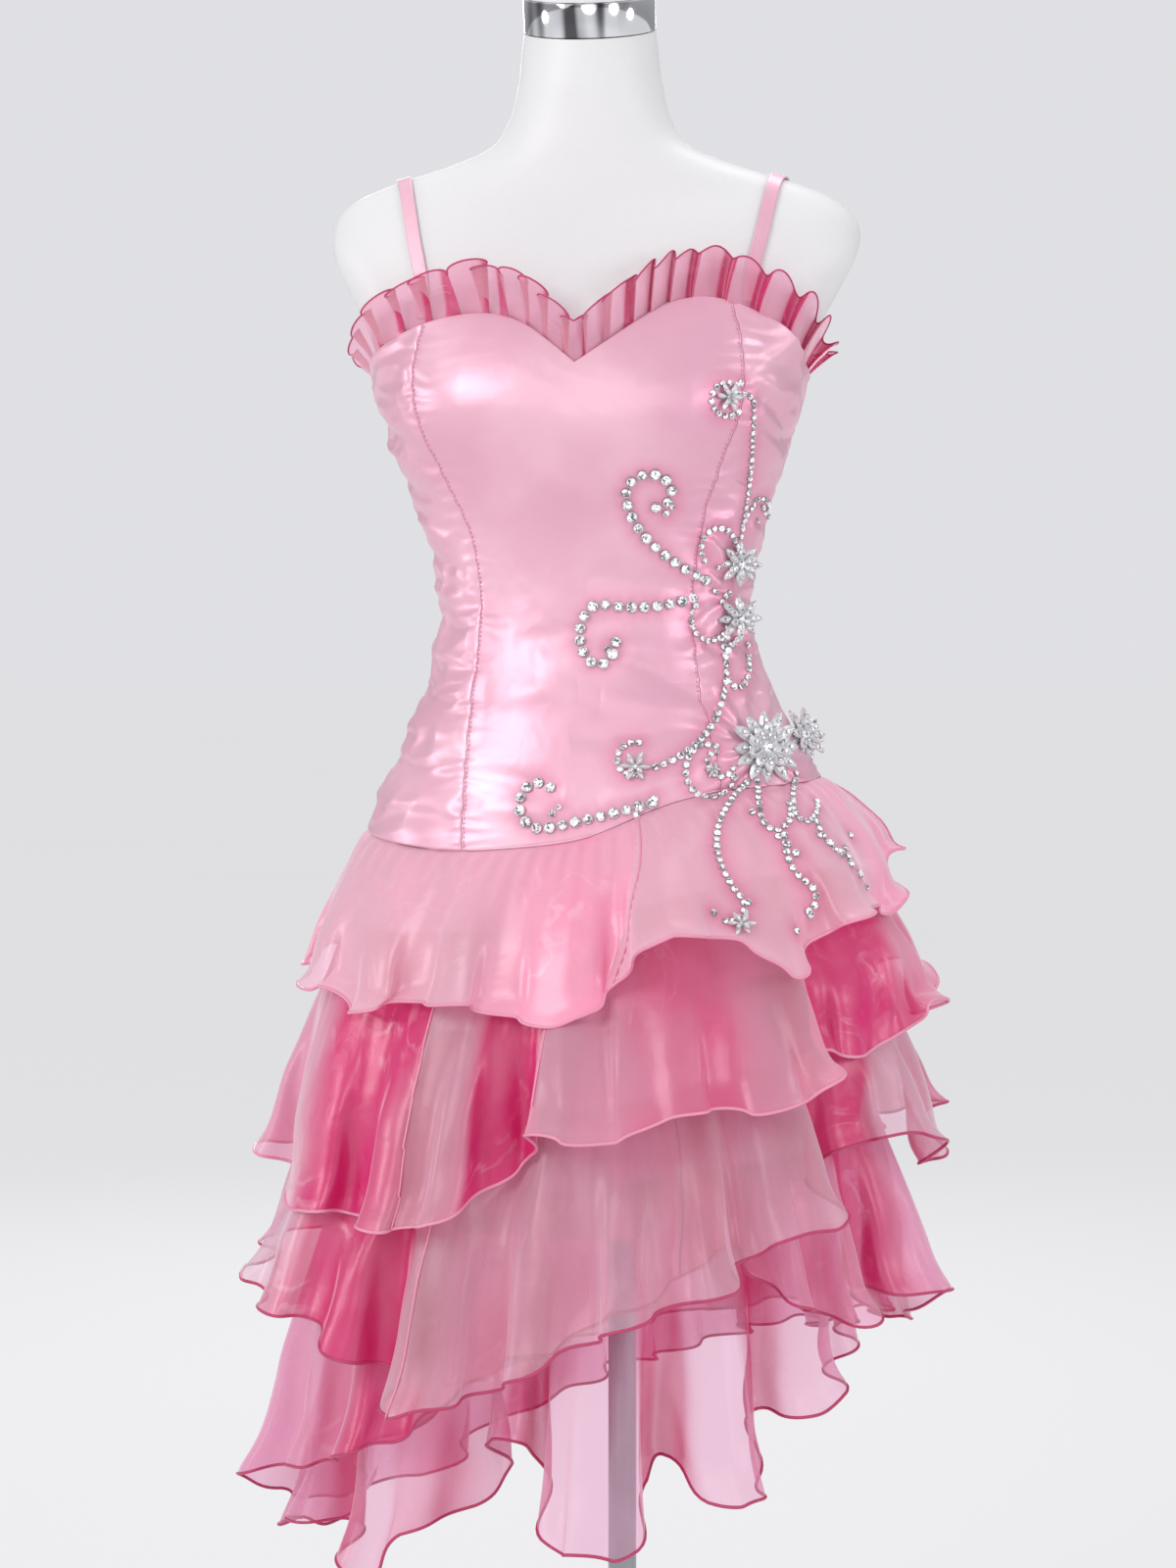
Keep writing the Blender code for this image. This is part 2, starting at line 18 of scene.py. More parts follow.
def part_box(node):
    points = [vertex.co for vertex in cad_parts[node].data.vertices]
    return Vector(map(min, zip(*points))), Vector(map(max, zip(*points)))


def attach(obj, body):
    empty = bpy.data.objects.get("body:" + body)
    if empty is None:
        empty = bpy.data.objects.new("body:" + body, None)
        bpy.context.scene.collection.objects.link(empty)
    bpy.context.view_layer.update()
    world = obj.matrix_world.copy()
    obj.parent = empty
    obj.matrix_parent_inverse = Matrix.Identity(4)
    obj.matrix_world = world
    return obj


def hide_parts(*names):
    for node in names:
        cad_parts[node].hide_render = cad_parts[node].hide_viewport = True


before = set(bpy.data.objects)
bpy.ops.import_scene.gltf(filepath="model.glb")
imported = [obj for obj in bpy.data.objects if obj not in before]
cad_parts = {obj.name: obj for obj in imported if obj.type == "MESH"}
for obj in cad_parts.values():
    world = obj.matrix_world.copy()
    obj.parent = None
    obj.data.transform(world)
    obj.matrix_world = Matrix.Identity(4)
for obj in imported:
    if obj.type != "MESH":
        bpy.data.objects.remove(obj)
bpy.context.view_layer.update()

MM = 0.001

# Camera, as the photograph was taken: its picture is 1200 by 1600 pixels
VIEW_TURN = math.radians(6)
VIEW_RISE = math.radians(3)
VIEW_DISTANCE = 2.7
VIEW_CENTRE = Vector((-0.027, 0.0, 0.892))
PICTURE_TALL = 1600
METRES_PER_PIXEL = 0.00076
SENSOR = 36.0

# Cloth: its ease over the form, and how it hangs and folds
BODY_EASE = 4.0 * MM
PANEL_REST = 1.4 * MM
HIP_EASE = 4.0 * MM
HIP_EASE_FALL = 50 * MM
SATIN_WALL = 1.2 * MM
SEAM_GAP = 0.3 * MM
LAYER_STEP = 1.7 * MM
FLOUNCE_ROOM = 9.0 * MM
UNDER_SPREAD = 0.65
FLARE_POWER = 0.7
FOLD_POWER = 1.4
FOLD_DEPTHS = (0.95, 1.15, 1.2, 1.22, 1.25)
FOLD_CURL = 0.68
FULL_FOLD = 28
HEM_FLICK = 6.0 * MM
HEM_DRAW = 7.0 * MM
HEM_WAVE = 4.0 * MM
HEM_TURN = 4.0 * MM
EVENING_TURNS = (-24, -16, -8, 0, 8, 16, 24)
FLOUNCE_COLUMNS = 720
FLOUNCE_ROWS = 44
FOLD_GUARD = 4
RUFFLE_GATHERS = 44
RUFFLE_OVERLAP = 0.36
RUFFLE_RISE = 35 * MM
RUFFLE_LEAN = 15 * MM
RUFFLE_WAVE = 5.0 * MM
RUFFLE_FOOT_GAP = 0.2 * MM
HEM_ROLL = 1.25 * MM
# Small unevenness of the skirt: gathers at a seam, slow drift and shorter sag of the cloth
SEAM_GATHERS = 70
GATHER_DEPTH = 1.5 * MM
DRIFT_DEPTH = 3.5 * MM
SAG_DEPTH = 1.3 * MM
# Above this height the skirt's middle follows the form, below it the form's foot
MIDDLE_CHANGE = 830 * MM
EDGE_STEPS = 80
EDGE_TURN = 1.1
EDGE_FLAT = 2
RUFFLE_COLUMNS = 1500
CORD_STEPS = 720

# Form and stand
FORM_FOOT = 560 * MM
NECK_TILT = math.radians(16)
NECK_RADIUS = 50.5 * MM
NECK_CENTRE_X = -25.5 * MM
NECK_TOP = 1462 * MM
NECK_SEAT = 8 * MM
RING_HEIGHT = 26 * MM
CAP_HEIGHT = 10 * MM

# Form and body sections: height, middle across, half width, front depth, back depth (mm)
FORM_SECTIONS = [
    (560, -12, 158, 100, 104),
    (640, -12, 172, 112, 118),
    (720, -12, 184, 120, 130),
    (790, -12, 188, 122, 134),
    (860, -12, 177, 116, 124),
    (920, -15, 150, 104, 106),
    (960, -19, 130, 94, 92),
    (1020, -20, 114, 84, 80),
    (1080, -21, 122, 88, 80),
    (1130, -24, 138, 100, 86),
    (1180, -25, 154, 110, 92),
    (1230, -24, 168, 101, 92),
    (1270, -23, 188, 80, 86),
    (1300, -22, 202, 66, 78),
    (1322, -22, 202, 56, 68),
    (1340, -24, 186, 48, 62),
    (1354, -25, 152, 46, 60),
    (1366, -25, 112, 46, 58),
    (1380, -25, 78, 47, 56),
    (1400, -25, 63, 48, 54),
    (1430, -25, 55, 50, 52),
    (1455, -25.5, 52, 50, 51),
]
SECTION_POWER = 2.35
BUST_HEIGHT = 1180 * MM
BUST_ANGLE = 36
BUST_RISE = 15 * MM
BUST_SPREAD = 28
BUST_DIP = 0.35
BUST_TALL = 55 * MM

# Neck edge of the bodice: angle, height (mm). The two sides meet in a point at the dip.
DIP_ANGLE = 0
NECK_LEFT = [(-180, 1195), (-130, 1194), (-90, 1199), (-70, 1222), (-50, 1243), (-35, 1247),
             (-20, 1238), (-8, 1222), (DIP_ANGLE, 1209)]
NECK_RIGHT = [(DIP_ANGLE, 1209), (12, 1226), (25, 1243), (38, 1256), (50, 1258), (65, 1240),
              (80, 1214), (90, 1204), (130, 1196), (180, 1195)]
# Dropped waist seam: angle, height (mm)
WAIST_SEAM = [(-170, 866), (-135, 864), (-90, 860), (-50, 848), (-20, 852), (0, 860),
              (25, 882), (45, 893), (90, 899), (135, 890), (170, 872)]
# Princess seam: height (mm), angle either side of the front
PRINCESS_SEAM = [(840, 41), (920, 45), (1010, 48), (1080, 49), (1150, 51), (1270, 55)]
SIDE_SEAM_ANGLE = 92

# Flounces, outermost first. Seam rows: angle, height (mm) on the foundation skirt.
# Hem rows, one for each fold and hollow: angle, reach from the body's axis (mm), height (mm).
FLOUNCE_SEAMS = [
    WAIST_SEAM,
    [(-150, 795), (-60, 785), (0, 800), (60, 832), (120, 825)],
    [(-150, 720), (-60, 712), (0, 725), (60, 760), (120, 755)],
    [(-150, 650), (-60, 645), (0, 655), (60, 690), (120, 685)],
    [(-150, 595), (-60, 590), (0, 596), (60, 615), (120, 612)],
]
FLOUNCE_HEMS = [
    [(-154, 236, 750), (-141, 214, 757), (-127, 240, 745), (-113, 222, 752), (-99, 254, 751),
     (-86, 232, 743), (-74, 240, 737), (-62, 218, 733), (-51, 228, 724), (-41, 200, 733),
     (-30, 214, 740), (-19, 190, 727), (-8, 206, 728), (2, 204, 735), (8, 188, 756),
     (13, 232, 784), (20, 240, 792), (28, 226, 789), (36, 238, 772), (42, 246, 763),
     (48, 228, 788), (55, 254, 800), (63, 240, 806), (72, 229, 797), (81, 236, 806),
     (92, 216, 826), (103, 230, 838), (116, 214, 822), (129, 236, 802), (142, 212, 806),
     (154, 234, 781), (167, 212, 784), (180, 233, 762), (193, 212, 768)],
    [(-155, 258, 625), (-143, 232, 626), (-130, 264, 605), (-117, 244, 606), (-105, 268, 597),
     (-94, 282, 600), (-84, 246, 586), (-73, 258, 577), (-61, 256, 575), (-50, 226, 574),
     (-40, 250, 570), (-33, 226, 576), (-27, 236, 581), (-20, 194, 606), (-13, 182, 626),
     (-7, 234, 650), (3, 250, 646), (12, 238, 656), (20, 244, 670), (28, 232, 672),
     (36, 246, 666), (44, 264, 686), (50, 228, 702), (58, 242, 697), (66, 244, 708),
     (75, 276, 732), (86, 240, 716), (96, 258, 736), (107, 246, 750), (118, 228, 736),
     (130, 258, 716), (143, 230, 706), (156, 256, 681), (168, 232, 676), (181, 254, 650),
     (193, 230, 650)],
    [(-156, 278, 535), (-143, 252, 531), (-130, 284, 522), (-117, 260, 524), (-104, 292, 518),
     (-94, 272, 512), (-84, 288, 508), (-75, 268, 503), (-66, 276, 500), (-57, 246, 490),
     (-50, 254, 474), (-42, 222, 466), (-34, 250, 438), (-26, 244, 446), (-19, 216, 457),
     (-10, 230, 472), (0, 220, 496), (9, 246, 513), (18, 234, 532), (26, 252, 538),
     (31, 228, 556), (38, 258, 575), (45, 266, 577), (51, 216, 606), (57, 234, 632),
     (65, 256, 642), (73, 273, 626), (82, 246, 603), (91, 266, 608), (101, 254, 625),
     (111, 276, 632), (122, 246, 616), (134, 276, 600), (146, 248, 590), (158, 276, 575),
     (169, 250, 565), (181, 274, 550), (192, 248, 545)],
    [(-155, 224, 392), (-143, 250, 371), (-132, 226, 352), (-121, 252, 330), (-111, 232, 312),
     (-102, 260, 310), (-94, 266, 328), (-86, 284, 341), (-77, 248, 362), (-68, 254, 372),
     (-60, 230, 384), (-52, 238, 394), (-44, 212, 408), (-34, 210, 432), (-24, 190, 460),
     (-12, 200, 482), (0, 184, 500), (12, 204, 521), (24, 194, 545), (32, 212, 566),
     (38, 204, 536), (44, 238, 516), (50, 222, 508), (56, 252, 500), (63, 222, 516),
     (71, 254, 512), (78, 270, 512), (88, 236, 485), (98, 244, 470), (109, 218, 462),
     (121, 246, 458), (133, 222, 452), (146, 248, 446), (158, 224, 440), (170, 246, 430),
     (181, 222, 420), (193, 246, 406)],
    [(-155, 182, 360), (-143, 212, 340), (-131, 190, 322), (-118, 236, 304), (-106, 226, 291),
     (-94, 262, 298), (-85, 240, 312), (-77, 250, 322), (-68, 206, 322), (-60, 222, 304),
     (-52, 208, 296), (-45, 200, 330), (-38, 152, 350), (-32, 134, 380), (-26, 172, 408),
     (-19, 178, 412), (-13, 152, 385), (-7, 200, 350), (2, 220, 346), (11, 208, 344),
     (17, 156, 378), (23, 154, 396), (28, 204, 372), (36, 214, 376), (42, 192, 386),
     (48, 164, 420), (55, 200, 426), (63, 206, 438), (71, 184, 452), (81, 202, 462),
     (92, 180, 468), (104, 200, 464), (117, 178, 452), (130, 206, 446), (143, 180, 440),
     (155, 206, 425), (167, 180, 410), (180, 204, 395), (192, 178, 380)],
]
FOUNDATION_FOOT = 556 * MM
# Upright edges where one panel of a flounce lies over the next: flounce, angle at the seam, angle
# at the hem, how far it stands off (mm), and the turn in which it sinks back
PANEL_EDGES = [
    (1, 15, 6, 7, 24), (2, -39, -36, 6, 16), (2, -8, -9, 6, 20), (3, -31, -34, 6, 20),
    (4, 24, 21, 5, 14), (1, 104, 100, 5, 20), (2, 150, 146, 5, 20), (1, 208, 205, 5, 20),
    (3, 190, 192, 5, 20),
]
# Bands of painted shade, deep where folds hollow and layers hang together: flounce, angle, half width,
# strength.
# A negative strength is a pale band of painted highlight on a fold that stands out.
PAINTED_SHADE_BANDS = [
    (1, -92, 12, 0.4), (1, -64, 14, -0.3), (1, -36, 12, -0.25), (1, -6, 13, 0.45), (1, 30, 16, -0.3),
    (1, 56, 8, -0.2), (1, 84, 12, 0.5), (1, 112, 8, 0.5), (1, 150, 12, 0.4), (1, 205, 14, 0.4),
    (2, -118, 12, 0.6), (2, -92, 8, -0.2), (2, -52, 14, 0.95), (2, -31, 5, -0.5), (2, -17, 8, 0.9),
    (2, 2, 9, 0.2), (2, 23, 14, 0.4), (2, 44, 6, -0.2), (2, 64, 14, 0.85), (2, 98, 12, 0.5),
    (2, 140, 12, 0.7), (2, 172, 9, -0.3), (2, 205, 12, 0.7),
    (3, -120, 12, 0.5), (3, -88, 10, -0.2), (3, -52, 15, 1.0), (3, -29, 8, -0.5), (3, 2, 16, -0.5),
    (3, 32, 11, -0.5), (3, 55, 7, 1.0), (3, 78, 10, 0.3), (3, 112, 12, 0.6), (3, 150, 13, 0.6),
    (3, 208, 12, 0.5),
    (4, -125, 12, 0.6), (4, -74, 10, -0.2), (4, -47, 9, 1.0), (4, -20, 10, 0.2), (4, 30, 7, 0.9),
    (4, 50, 7, 0.3), (4, 66, 7, 0.8), (4, 100, 12, 0.4), (4, 150, 12, 0.6), (4, 205, 12, 0.5),
    (5, -100, 12, 0.4), (5, -66, 8, 0.8), (5, -44, 6, 0.6), (5, -15, 5, 0.8), (5, 2, 8, -0.4),
    (5, 19, 5, 0.8), (5, 46, 6, 0.6), (5, 100, 12, 0.3), (5, 150, 10, 0.6), (5, 205, 12, 0.5),
]

# Straps: turn about the shoulder (0 is straight out to the front), place across (mm)
STRAP_CENTRE = Vector((0, 5 * MM, 1225 * MM))
STRAP_HALF_WIDTH = 5 * MM
STRAP_EASE = 2.1 * MM
STRAP_WALL = 1.3 * MM
STRAP_LEFT = [(14, -143), (38, -147), (62, -157), (90, -170), (120, -166), (155, -158), (193, -150)]
STRAP_RIGHT = [(22, 101), (42, 104), (62, 112), (90, 122), (120, 118), (155, 112), (193, 104)]


# Creases pressed or pulled into the satin: from (angle, height), to (angle, height), half width
# and depth in mm. A negative depth is a ridge.
BODICE_CREASES = [
    (58, 905, 20, 858, 7, 1.6), (54, 922, 4, 884, 8, -1.5), (50, 936, -6, 930, 9, 1.4),
    (50, 946, 8, 962, 9, -1.3), (47, 958, 14, 1000, 8, 1.4), (66, 975, 48, 1020, 7, 1.3),
    (38, 1000, -20, 985, 10, -1.2), (44, 1044, 2, 1052, 10, 1.0), (-30, 1002, 16, 1018, 10, 1.0),
    (-38, 962, -4, 972, 12, -1.1), (-40, 905, -10, 893, 9, 1.1), (-36, 880, -6, 876, 8, -0.9),
    (-14, 1176, 20, 1184, 16, 0.9), (-30, 1132, 8, 1122, 16, -0.9), (12, 1102, 40, 1128, 12, 0.9),
    (-88, 1176, -56, 1150, 6, 1.9), (-88, 1158, -54, 1132, 5, -1.5), (-90, 1132, -56, 1108, 6, 1.8),
    (-88, 1106, -57, 1078, 5, -1.6), (-90, 1076, -55, 1056, 6, 1.9), (-88, 1046, -58, 1036, 5, -1.5),
    (-90, 1024, -54, 1008, 6, 1.9), (-90, 1000, -52, 990, 5, -1.6), (-92, 972, -50, 952, 7, 1.9),
    (-92, 944, -50, 934, 6, -1.5), (-90, 916, -48, 902, 7, 1.7), (-88, 888, -46, 880, 6, -1.3),
    (56, 1190, 86, 1150, 6, 1.8), (56, 1162, 88, 1128, 6, -1.5), (54, 1130, 88, 1098, 6, 1.7),
    (54, 1096, 88, 1080, 5, -1.4), (56, 1010, 90, 985, 6, 1.6), (58, 990, 90, 960, 6, -1.4),
    (100, 1150, 150, 1120, 9, 1.4), (104, 1100, 160, 1085, 9, -1.2), (98, 1050, 150, 1040, 7, 1.7),
    (100, 1020, 165, 1012, 7, -1.4), (100, 985, 155, 975, 8, 1.5), (105, 940, 160, 925, 9, -1.2),
    (205, 1130, 258, 1150, 9, 1.4), (200, 1090, 255, 1100, 9, -1.2), (205, 1042, 262, 1052, 7, 1.7),
    (196, 1012, 258, 1020, 7, -1.4), (204, 975, 258, 988, 8, 1.5), (200, 925, 256, 940, 9, -1.2),
]
# Scrolls of set stones in the front view (mm): name, curl's middle across and height, its radius,
# where the curl starts and how far it turns (degrees), how much it shrinks, the tail's end across
# and height, the tail's bend, stone size, and how many times taller than wide the curl is
SCROLLS = [
    ("scroll_chest", 22, 1117, 20, 185, -285, 0.42, 64, 1050, 0.4, 8.4, 0.85),
    ("scroll_waist", -18, 1006, 17, 80, 290, 0.3, 54, 1036, 0.5, 8.4, 1.5),
    ("scroll_hip", -64, 877, 18, -80, -255, 0.3, 22, 877, 0.35, 8.4, 1.1),
    ("scroll_side_top", 74, 1074, 14, 10, 220, 0.05, 88, 1054, 0.3, 5.2, 1.2),
    ("scroll_side_low", 67, 1020, 15, 50, -290, 0.05, 82, 1040, 0.3, 5.2, 1.15),
    ("scroll_side_drop", 89, 984, 10, 120, 270, 0.2, 88, 1004, 0.3, 5.4, 1.9),
    ("scroll_long", 20, 920, 16, -70, -10, 0.1, 77, 1004, 0.62, 6.0, 1.0),
    ("scroll_rosette_ring", 8, 911, 13, 75, 205, 0.05, 12, 924, 0.1, 5.4, 1.0),
    ("scroll_hip_outer", 68, 902, 20, 115, 245, 0.1, 72, 921, 0.2, 5.6, 1.1),
    ("scroll_hip_inner", 76, 908, 11, 140, 225, 0.1, 73, 917, 0.2, 5.2, 1.0),
    ("scroll_drop_left", 82, 796, 12, 40, -150, 0.1, 96, 893, 0.7, 5.6, 1.0),
    ("scroll_drop_middle", 119, 872, 13, 190, 200, 0.2, 104, 894, 0.4, 5.6, 1.3),
    ("scroll_drop_right", 142, 876, 10, 190, 200, 0.2, 134, 900, 0.4, 5.2, 1.4),
    ("scroll_chain_middle", 136, 803, 14, 60, -120, 0.1, 125, 852, 0.5, 6.0, 1.0),
    ("scroll_chain_right", 168, 828, 10, 70, -60, 0.1, 150, 862, 0.5, 6.0, 1.0),
    ("scroll_bust", 92, 1186, 9, 0, 115, 0.05, 91, 1084, 0.5, 5.0, 1.0),
    ("scroll_bust_ring", 81, 1190, 13, 50, 265, 0.05, 91, 1203, 0.1, 5.0, 1.0),
    ("scroll_bust_branch", 107, 1107, 6, 150, -220, 0.1, 92, 1092, 0.5, 4.6, 1.1),
]
STONE_PITCH = 1.16
# How far the painted shade round the stones reaches
STONE_SHADE = 9 * MM
# Single stones in the front view: across, height, size (mm)
STONE_DOTS = [
    (38, 1107, 4), (33, 1102, 5), (-6, 1001, 4), (-12, 996, 5), (-50, 874, 4), (-55, 869, 5),
    (60, 1052, 5), (71, 1041, 5), (86, 1062, 6), (90, 1030, 6), (96, 1000, 5), (98, 991, 4),
    (112, 1100, 5), (108, 1106, 5), (104, 1096, 4), (117, 1109, 4), (80, 1006, 5), (74, 1060, 4),
    (24, 880, 6), (10, 868, 5), (120, 851, 5), (128, 845, 5), (134, 838, 6), (152, 852, 5),
    (160, 846, 6), (168, 838, 7), (176, 830, 6), (183, 822, 6), (188, 812, 5), (176, 852, 5),
    (172, 842, 5), (145, 790, 5), (134, 778, 5), (97, 800, 5), (70, 792, 5), (100, 870, 5),
]
# Flowers of petals and stones: name, angle, height (mm), radius, petals in a ring
BROOCHES = [
    ("brooch_hip", 60, 924, 27, 12),
    ("brooch_side", 85, 930, 21, 9),
    ("brooch_waist_upper", 66, 1062, 17, 8),
    ("brooch_waist_lower", 66, 1020, 17, 8),
    ("rosette_bust", 47, 1184, 11, 6),
    ("rosette_front", 17, 911, 11, 6),
]
SMALL_FLOWER = 15
# How far the large flowers face the front, and how far they stand off
BROOCH_TURN = 0.45
BROOCH_LIFT = 3 * MM
# Small flowers beyond the solids, in the front view: across, height, radius (mm)
LOOSE_FLOWERS = [(91, 783, 10), (69, 903, 6)]
FRONT_SHIFT = 27.36 * MM
TRIMMED_CLOTHS = ("satin_front_centre", "satin_side_front_right", "satin_back_right", "organza_flounce_1")

PUCKER_PITCH = 11 * MM
PUCKER_DEPTH = 0.8 * MM
PUCKER_REACH = 12 * MM
CREASE_STRENGTH = 1.9
CRUMPLE_DEPTH = 2.5 * MM
SWELL_DEPTH = 2.4 * MM
GROOVE_WIDTH = 1.6 * MM
GROOVE_DEPTH = 0.6 * MM
DEEPEST_SINK = 3.4 * MM
TALLEST_FOLD = 6 * MM
# The body's mean radius, in metres, which turns an angle into a length
BODY_ROUND = 0.13
# Places that draw the satin together: angle, height, folds round it, reach and depth (mm)
PULLS = [(60, 926, 11, 48, 3.3), (68, 1040, 12, 40, 3.2)]

rng = random.Random(7)
stones_laid = []


def smooth_row(rows, at, column=1, period=None):
    """Reads a column of a table at any place, on a smooth curve through its rows."""
    if period:
        at = rows[0][0] + (at - rows[0][0]) % period
        rows = wrapped_rows(tuple(rows), period)
    places = [row[0] for row in rows]
    at = min(max(at, places[0]), places[-1])
    low = min(max(bisect.bisect_right(places, at) - 1, 0), len(rows) - 2)
    span = places[low + 1] - places[low]
    share = (at - places[low]) / span

    def slope(index):
        before = max(index - 1, 0)
        after = min(index + 1, len(rows) - 1)
        return (rows[after][column] - rows[before][column]) / (places[after] - places[before])

    start = rows[low][column]
    end = rows[low + 1][column]
    square = share * share
    cube = square * share
    return ((2 * cube - 3 * square + 1) * start + (cube - 2 * square + share) * span * slope(low)
            + (3 * square - 2 * cube) * end + (cube - square) * span * slope(low + 1))


@functools.lru_cache(maxsize=None)
def wrapped_rows(rows, period):
    def turned(row, turn):
        return (row[0] + turn, *row[1:])

    return (turned(rows[-1], -period), *rows, turned(rows[0], period), turned(rows[1], period))


def soft_least(first, second, blend=8 * MM):
    near = max(blend - abs(first - second), 0) / blend
    return min(first, second) - near * near * blend / 4


def soft_most(first, second, blend=8 * MM):
    return -soft_least(-first, -second, blend)


def turn_apart(first, second):
    return (first - second + 180) % 360 - 180


def ease_step(low, high, at):
    share = min(max((at - low) / (high - low), 0), 1)
    return share * share * (3 - 2 * share)


@functools.lru_cache(maxsize=None)
def section(height):
    return [smooth_row(FORM_SECTIONS, height / MM, column) * MM for column in (1, 2, 3, 4)]


def middle_across(height):
    return section(round(height, 5))[0]


def skin_reach(angle, height):
    """How far the form's skin lies from its middle, in one direction at one height."""
    _, half_width, front, back = section(round(height, 5))
    sine = math.sin(math.radians(angle))
    cosine = math.cos(math.radians(angle))
    depth = front if cosine > 0 else back
    reach = (abs(sine / half_width) ** SECTION_POWER
             + abs(cosine / depth) ** SECTION_POWER) ** (-1 / SECTION_POWER)
    from_front = abs(turn_apart(angle, 0))
    across = max(from_front - BUST_ANGLE, 0) / BUST_SPREAD
    between = 1 - BUST_DIP * max(1 - (from_front / BUST_ANGLE) ** 2, 0)
    up = (height - BUST_HEIGHT) / BUST_TALL
    return reach + BUST_RISE * between * math.exp(-across * across - up * up)


def outward(angle):
    turned = math.radians(angle)
    return Vector((math.sin(turned), -math.cos(turned), 0))


def around(angle, reach, height, middle=None):
    turned = math.radians(angle)
    across = middle_across(height) if middle is None else middle
    return Vector((across + reach * math.sin(turned), -reach * math.cos(turned), height))


def on_body(angle, height, ease):
    return around(angle, skin_reach(angle, height) + ease, height)


def neck_height(angle):
    angle = turn_apart(angle, 0)
    rows = NECK_LEFT if angle < DIP_ANGLE else NECK_RIGHT
    return smooth_row(rows, angle) * MM


def waist_height(angle):
    return smooth_row(WAIST_SEAM, angle, 1, 360) * MM


def princess_angle(height):
    return smooth_row(PRINCESS_SEAM, height / MM)


def foundation_reach(angle, height):
    held = max(height, FORM_FOOT)
    below_seam = min(max((waist_height(angle) - held) / HIP_EASE_FALL, 0), 1)
    return skin_reach(angle, held) + BODY_EASE + HIP_EASE * below_seam


@functools.lru_cache(maxsize=None)
def flounce_cut(index, angle):
    """Seam height, hem height, hem reach and evened reach of one flounce at one angle."""
    rows = FLOUNCE_HEMS[index]
    seam = smooth_row(FLOUNCE_SEAMS[index], angle, 1, 360) * MM - SEAM_GAP * 2
    reach = smooth_row(rows, angle, 1, 360) * MM
    hem = smooth_row(rows, angle, 2, 360) * MM
    mean = sum(smooth_row(rows, angle + turn, 1, 360) for turn in EVENING_TURNS) * MM / len(EVENING_TURNS)
    return seam, hem, mean + (reach - mean) * FOLD_DEPTHS[index], mean


def reach_along(column, height):
    """Reads one hanging line of a flounce, listed from its seam down, at a height."""
    top = column[0][0]
    step = (top - column[-1][0]) / (len(column) - 1)
    place = min(max((top - height) / step, 0), len(column) - 1.000001)
    low = int(place)
    return column[low][1] + (column[low + 1][1] - column[low][1]) * (place - low)


def hang_flounces():
    """Height and reach of every flounce, in lines from seam to hem, each inside the one above."""
    flounces_hung = []
    for index in range(len(FLOUNCE_HEMS)):
        columns = []
        for place in range(FLOUNCE_COLUMNS):
            angle = place * 360 / FLOUNCE_COLUMNS - 180
            seam, hem, reach, mean = flounce_cut(index, angle)
            start = foundation_reach(angle, seam) + LAYER_STEP
            above = []
            if index:
                for beside in (-FOLD_GUARD, 0, FOLD_GUARD):
                    above.append(flounces_hung[-1][(place + beside) % FLOUNCE_COLUMNS])
            line = []
            for row in range(FLOUNCE_ROWS + 1):
                share = row / FLOUNCE_ROWS
                height = seam + (hem - seam) * share
                hung = start + (mean - start) * share ** FLARE_POWER + (reach - mean) * share ** FOLD_POWER
                if above:
                    over = min(reach_along(other, height) for other in above)
                    spread = max(above[1][-1][0] - height, 0) * UNDER_SPREAD
                    hung = soft_least(hung, over - FLOUNCE_ROOM * min(share * 6, 1) + spread)
                if height > FORM_FOOT - 40 * MM:
                    hung = soft_most(hung, foundation_reach(angle, height) + LAYER_STEP, 2 * MM)
                line.append((height, hung))
            columns.append(line)
        flounces_hung.append(columns)
    return flounces_hung


@functools.lru_cache(maxsize=None)
def row_phase(index, angle):
    """Folds and hollows passed at an angle, the turn from one to the next, and how deep they are."""
    rows = FLOUNCE_HEMS[index]
    at = rows[0][0] + (angle - rows[0][0]) % 360
    places = [row[0] for row in rows] + [rows[0][0] + 360]
    low = min(bisect.bisect_right(places, at) - 1, len(rows) - 1)
    span = places[low + 1] - places[low]
    deep = abs(rows[(low + 1) % len(rows)][1] - rows[low][1]) / FULL_FOLD
    return low + (at - places[low]) / span, span, min(deep, 1)


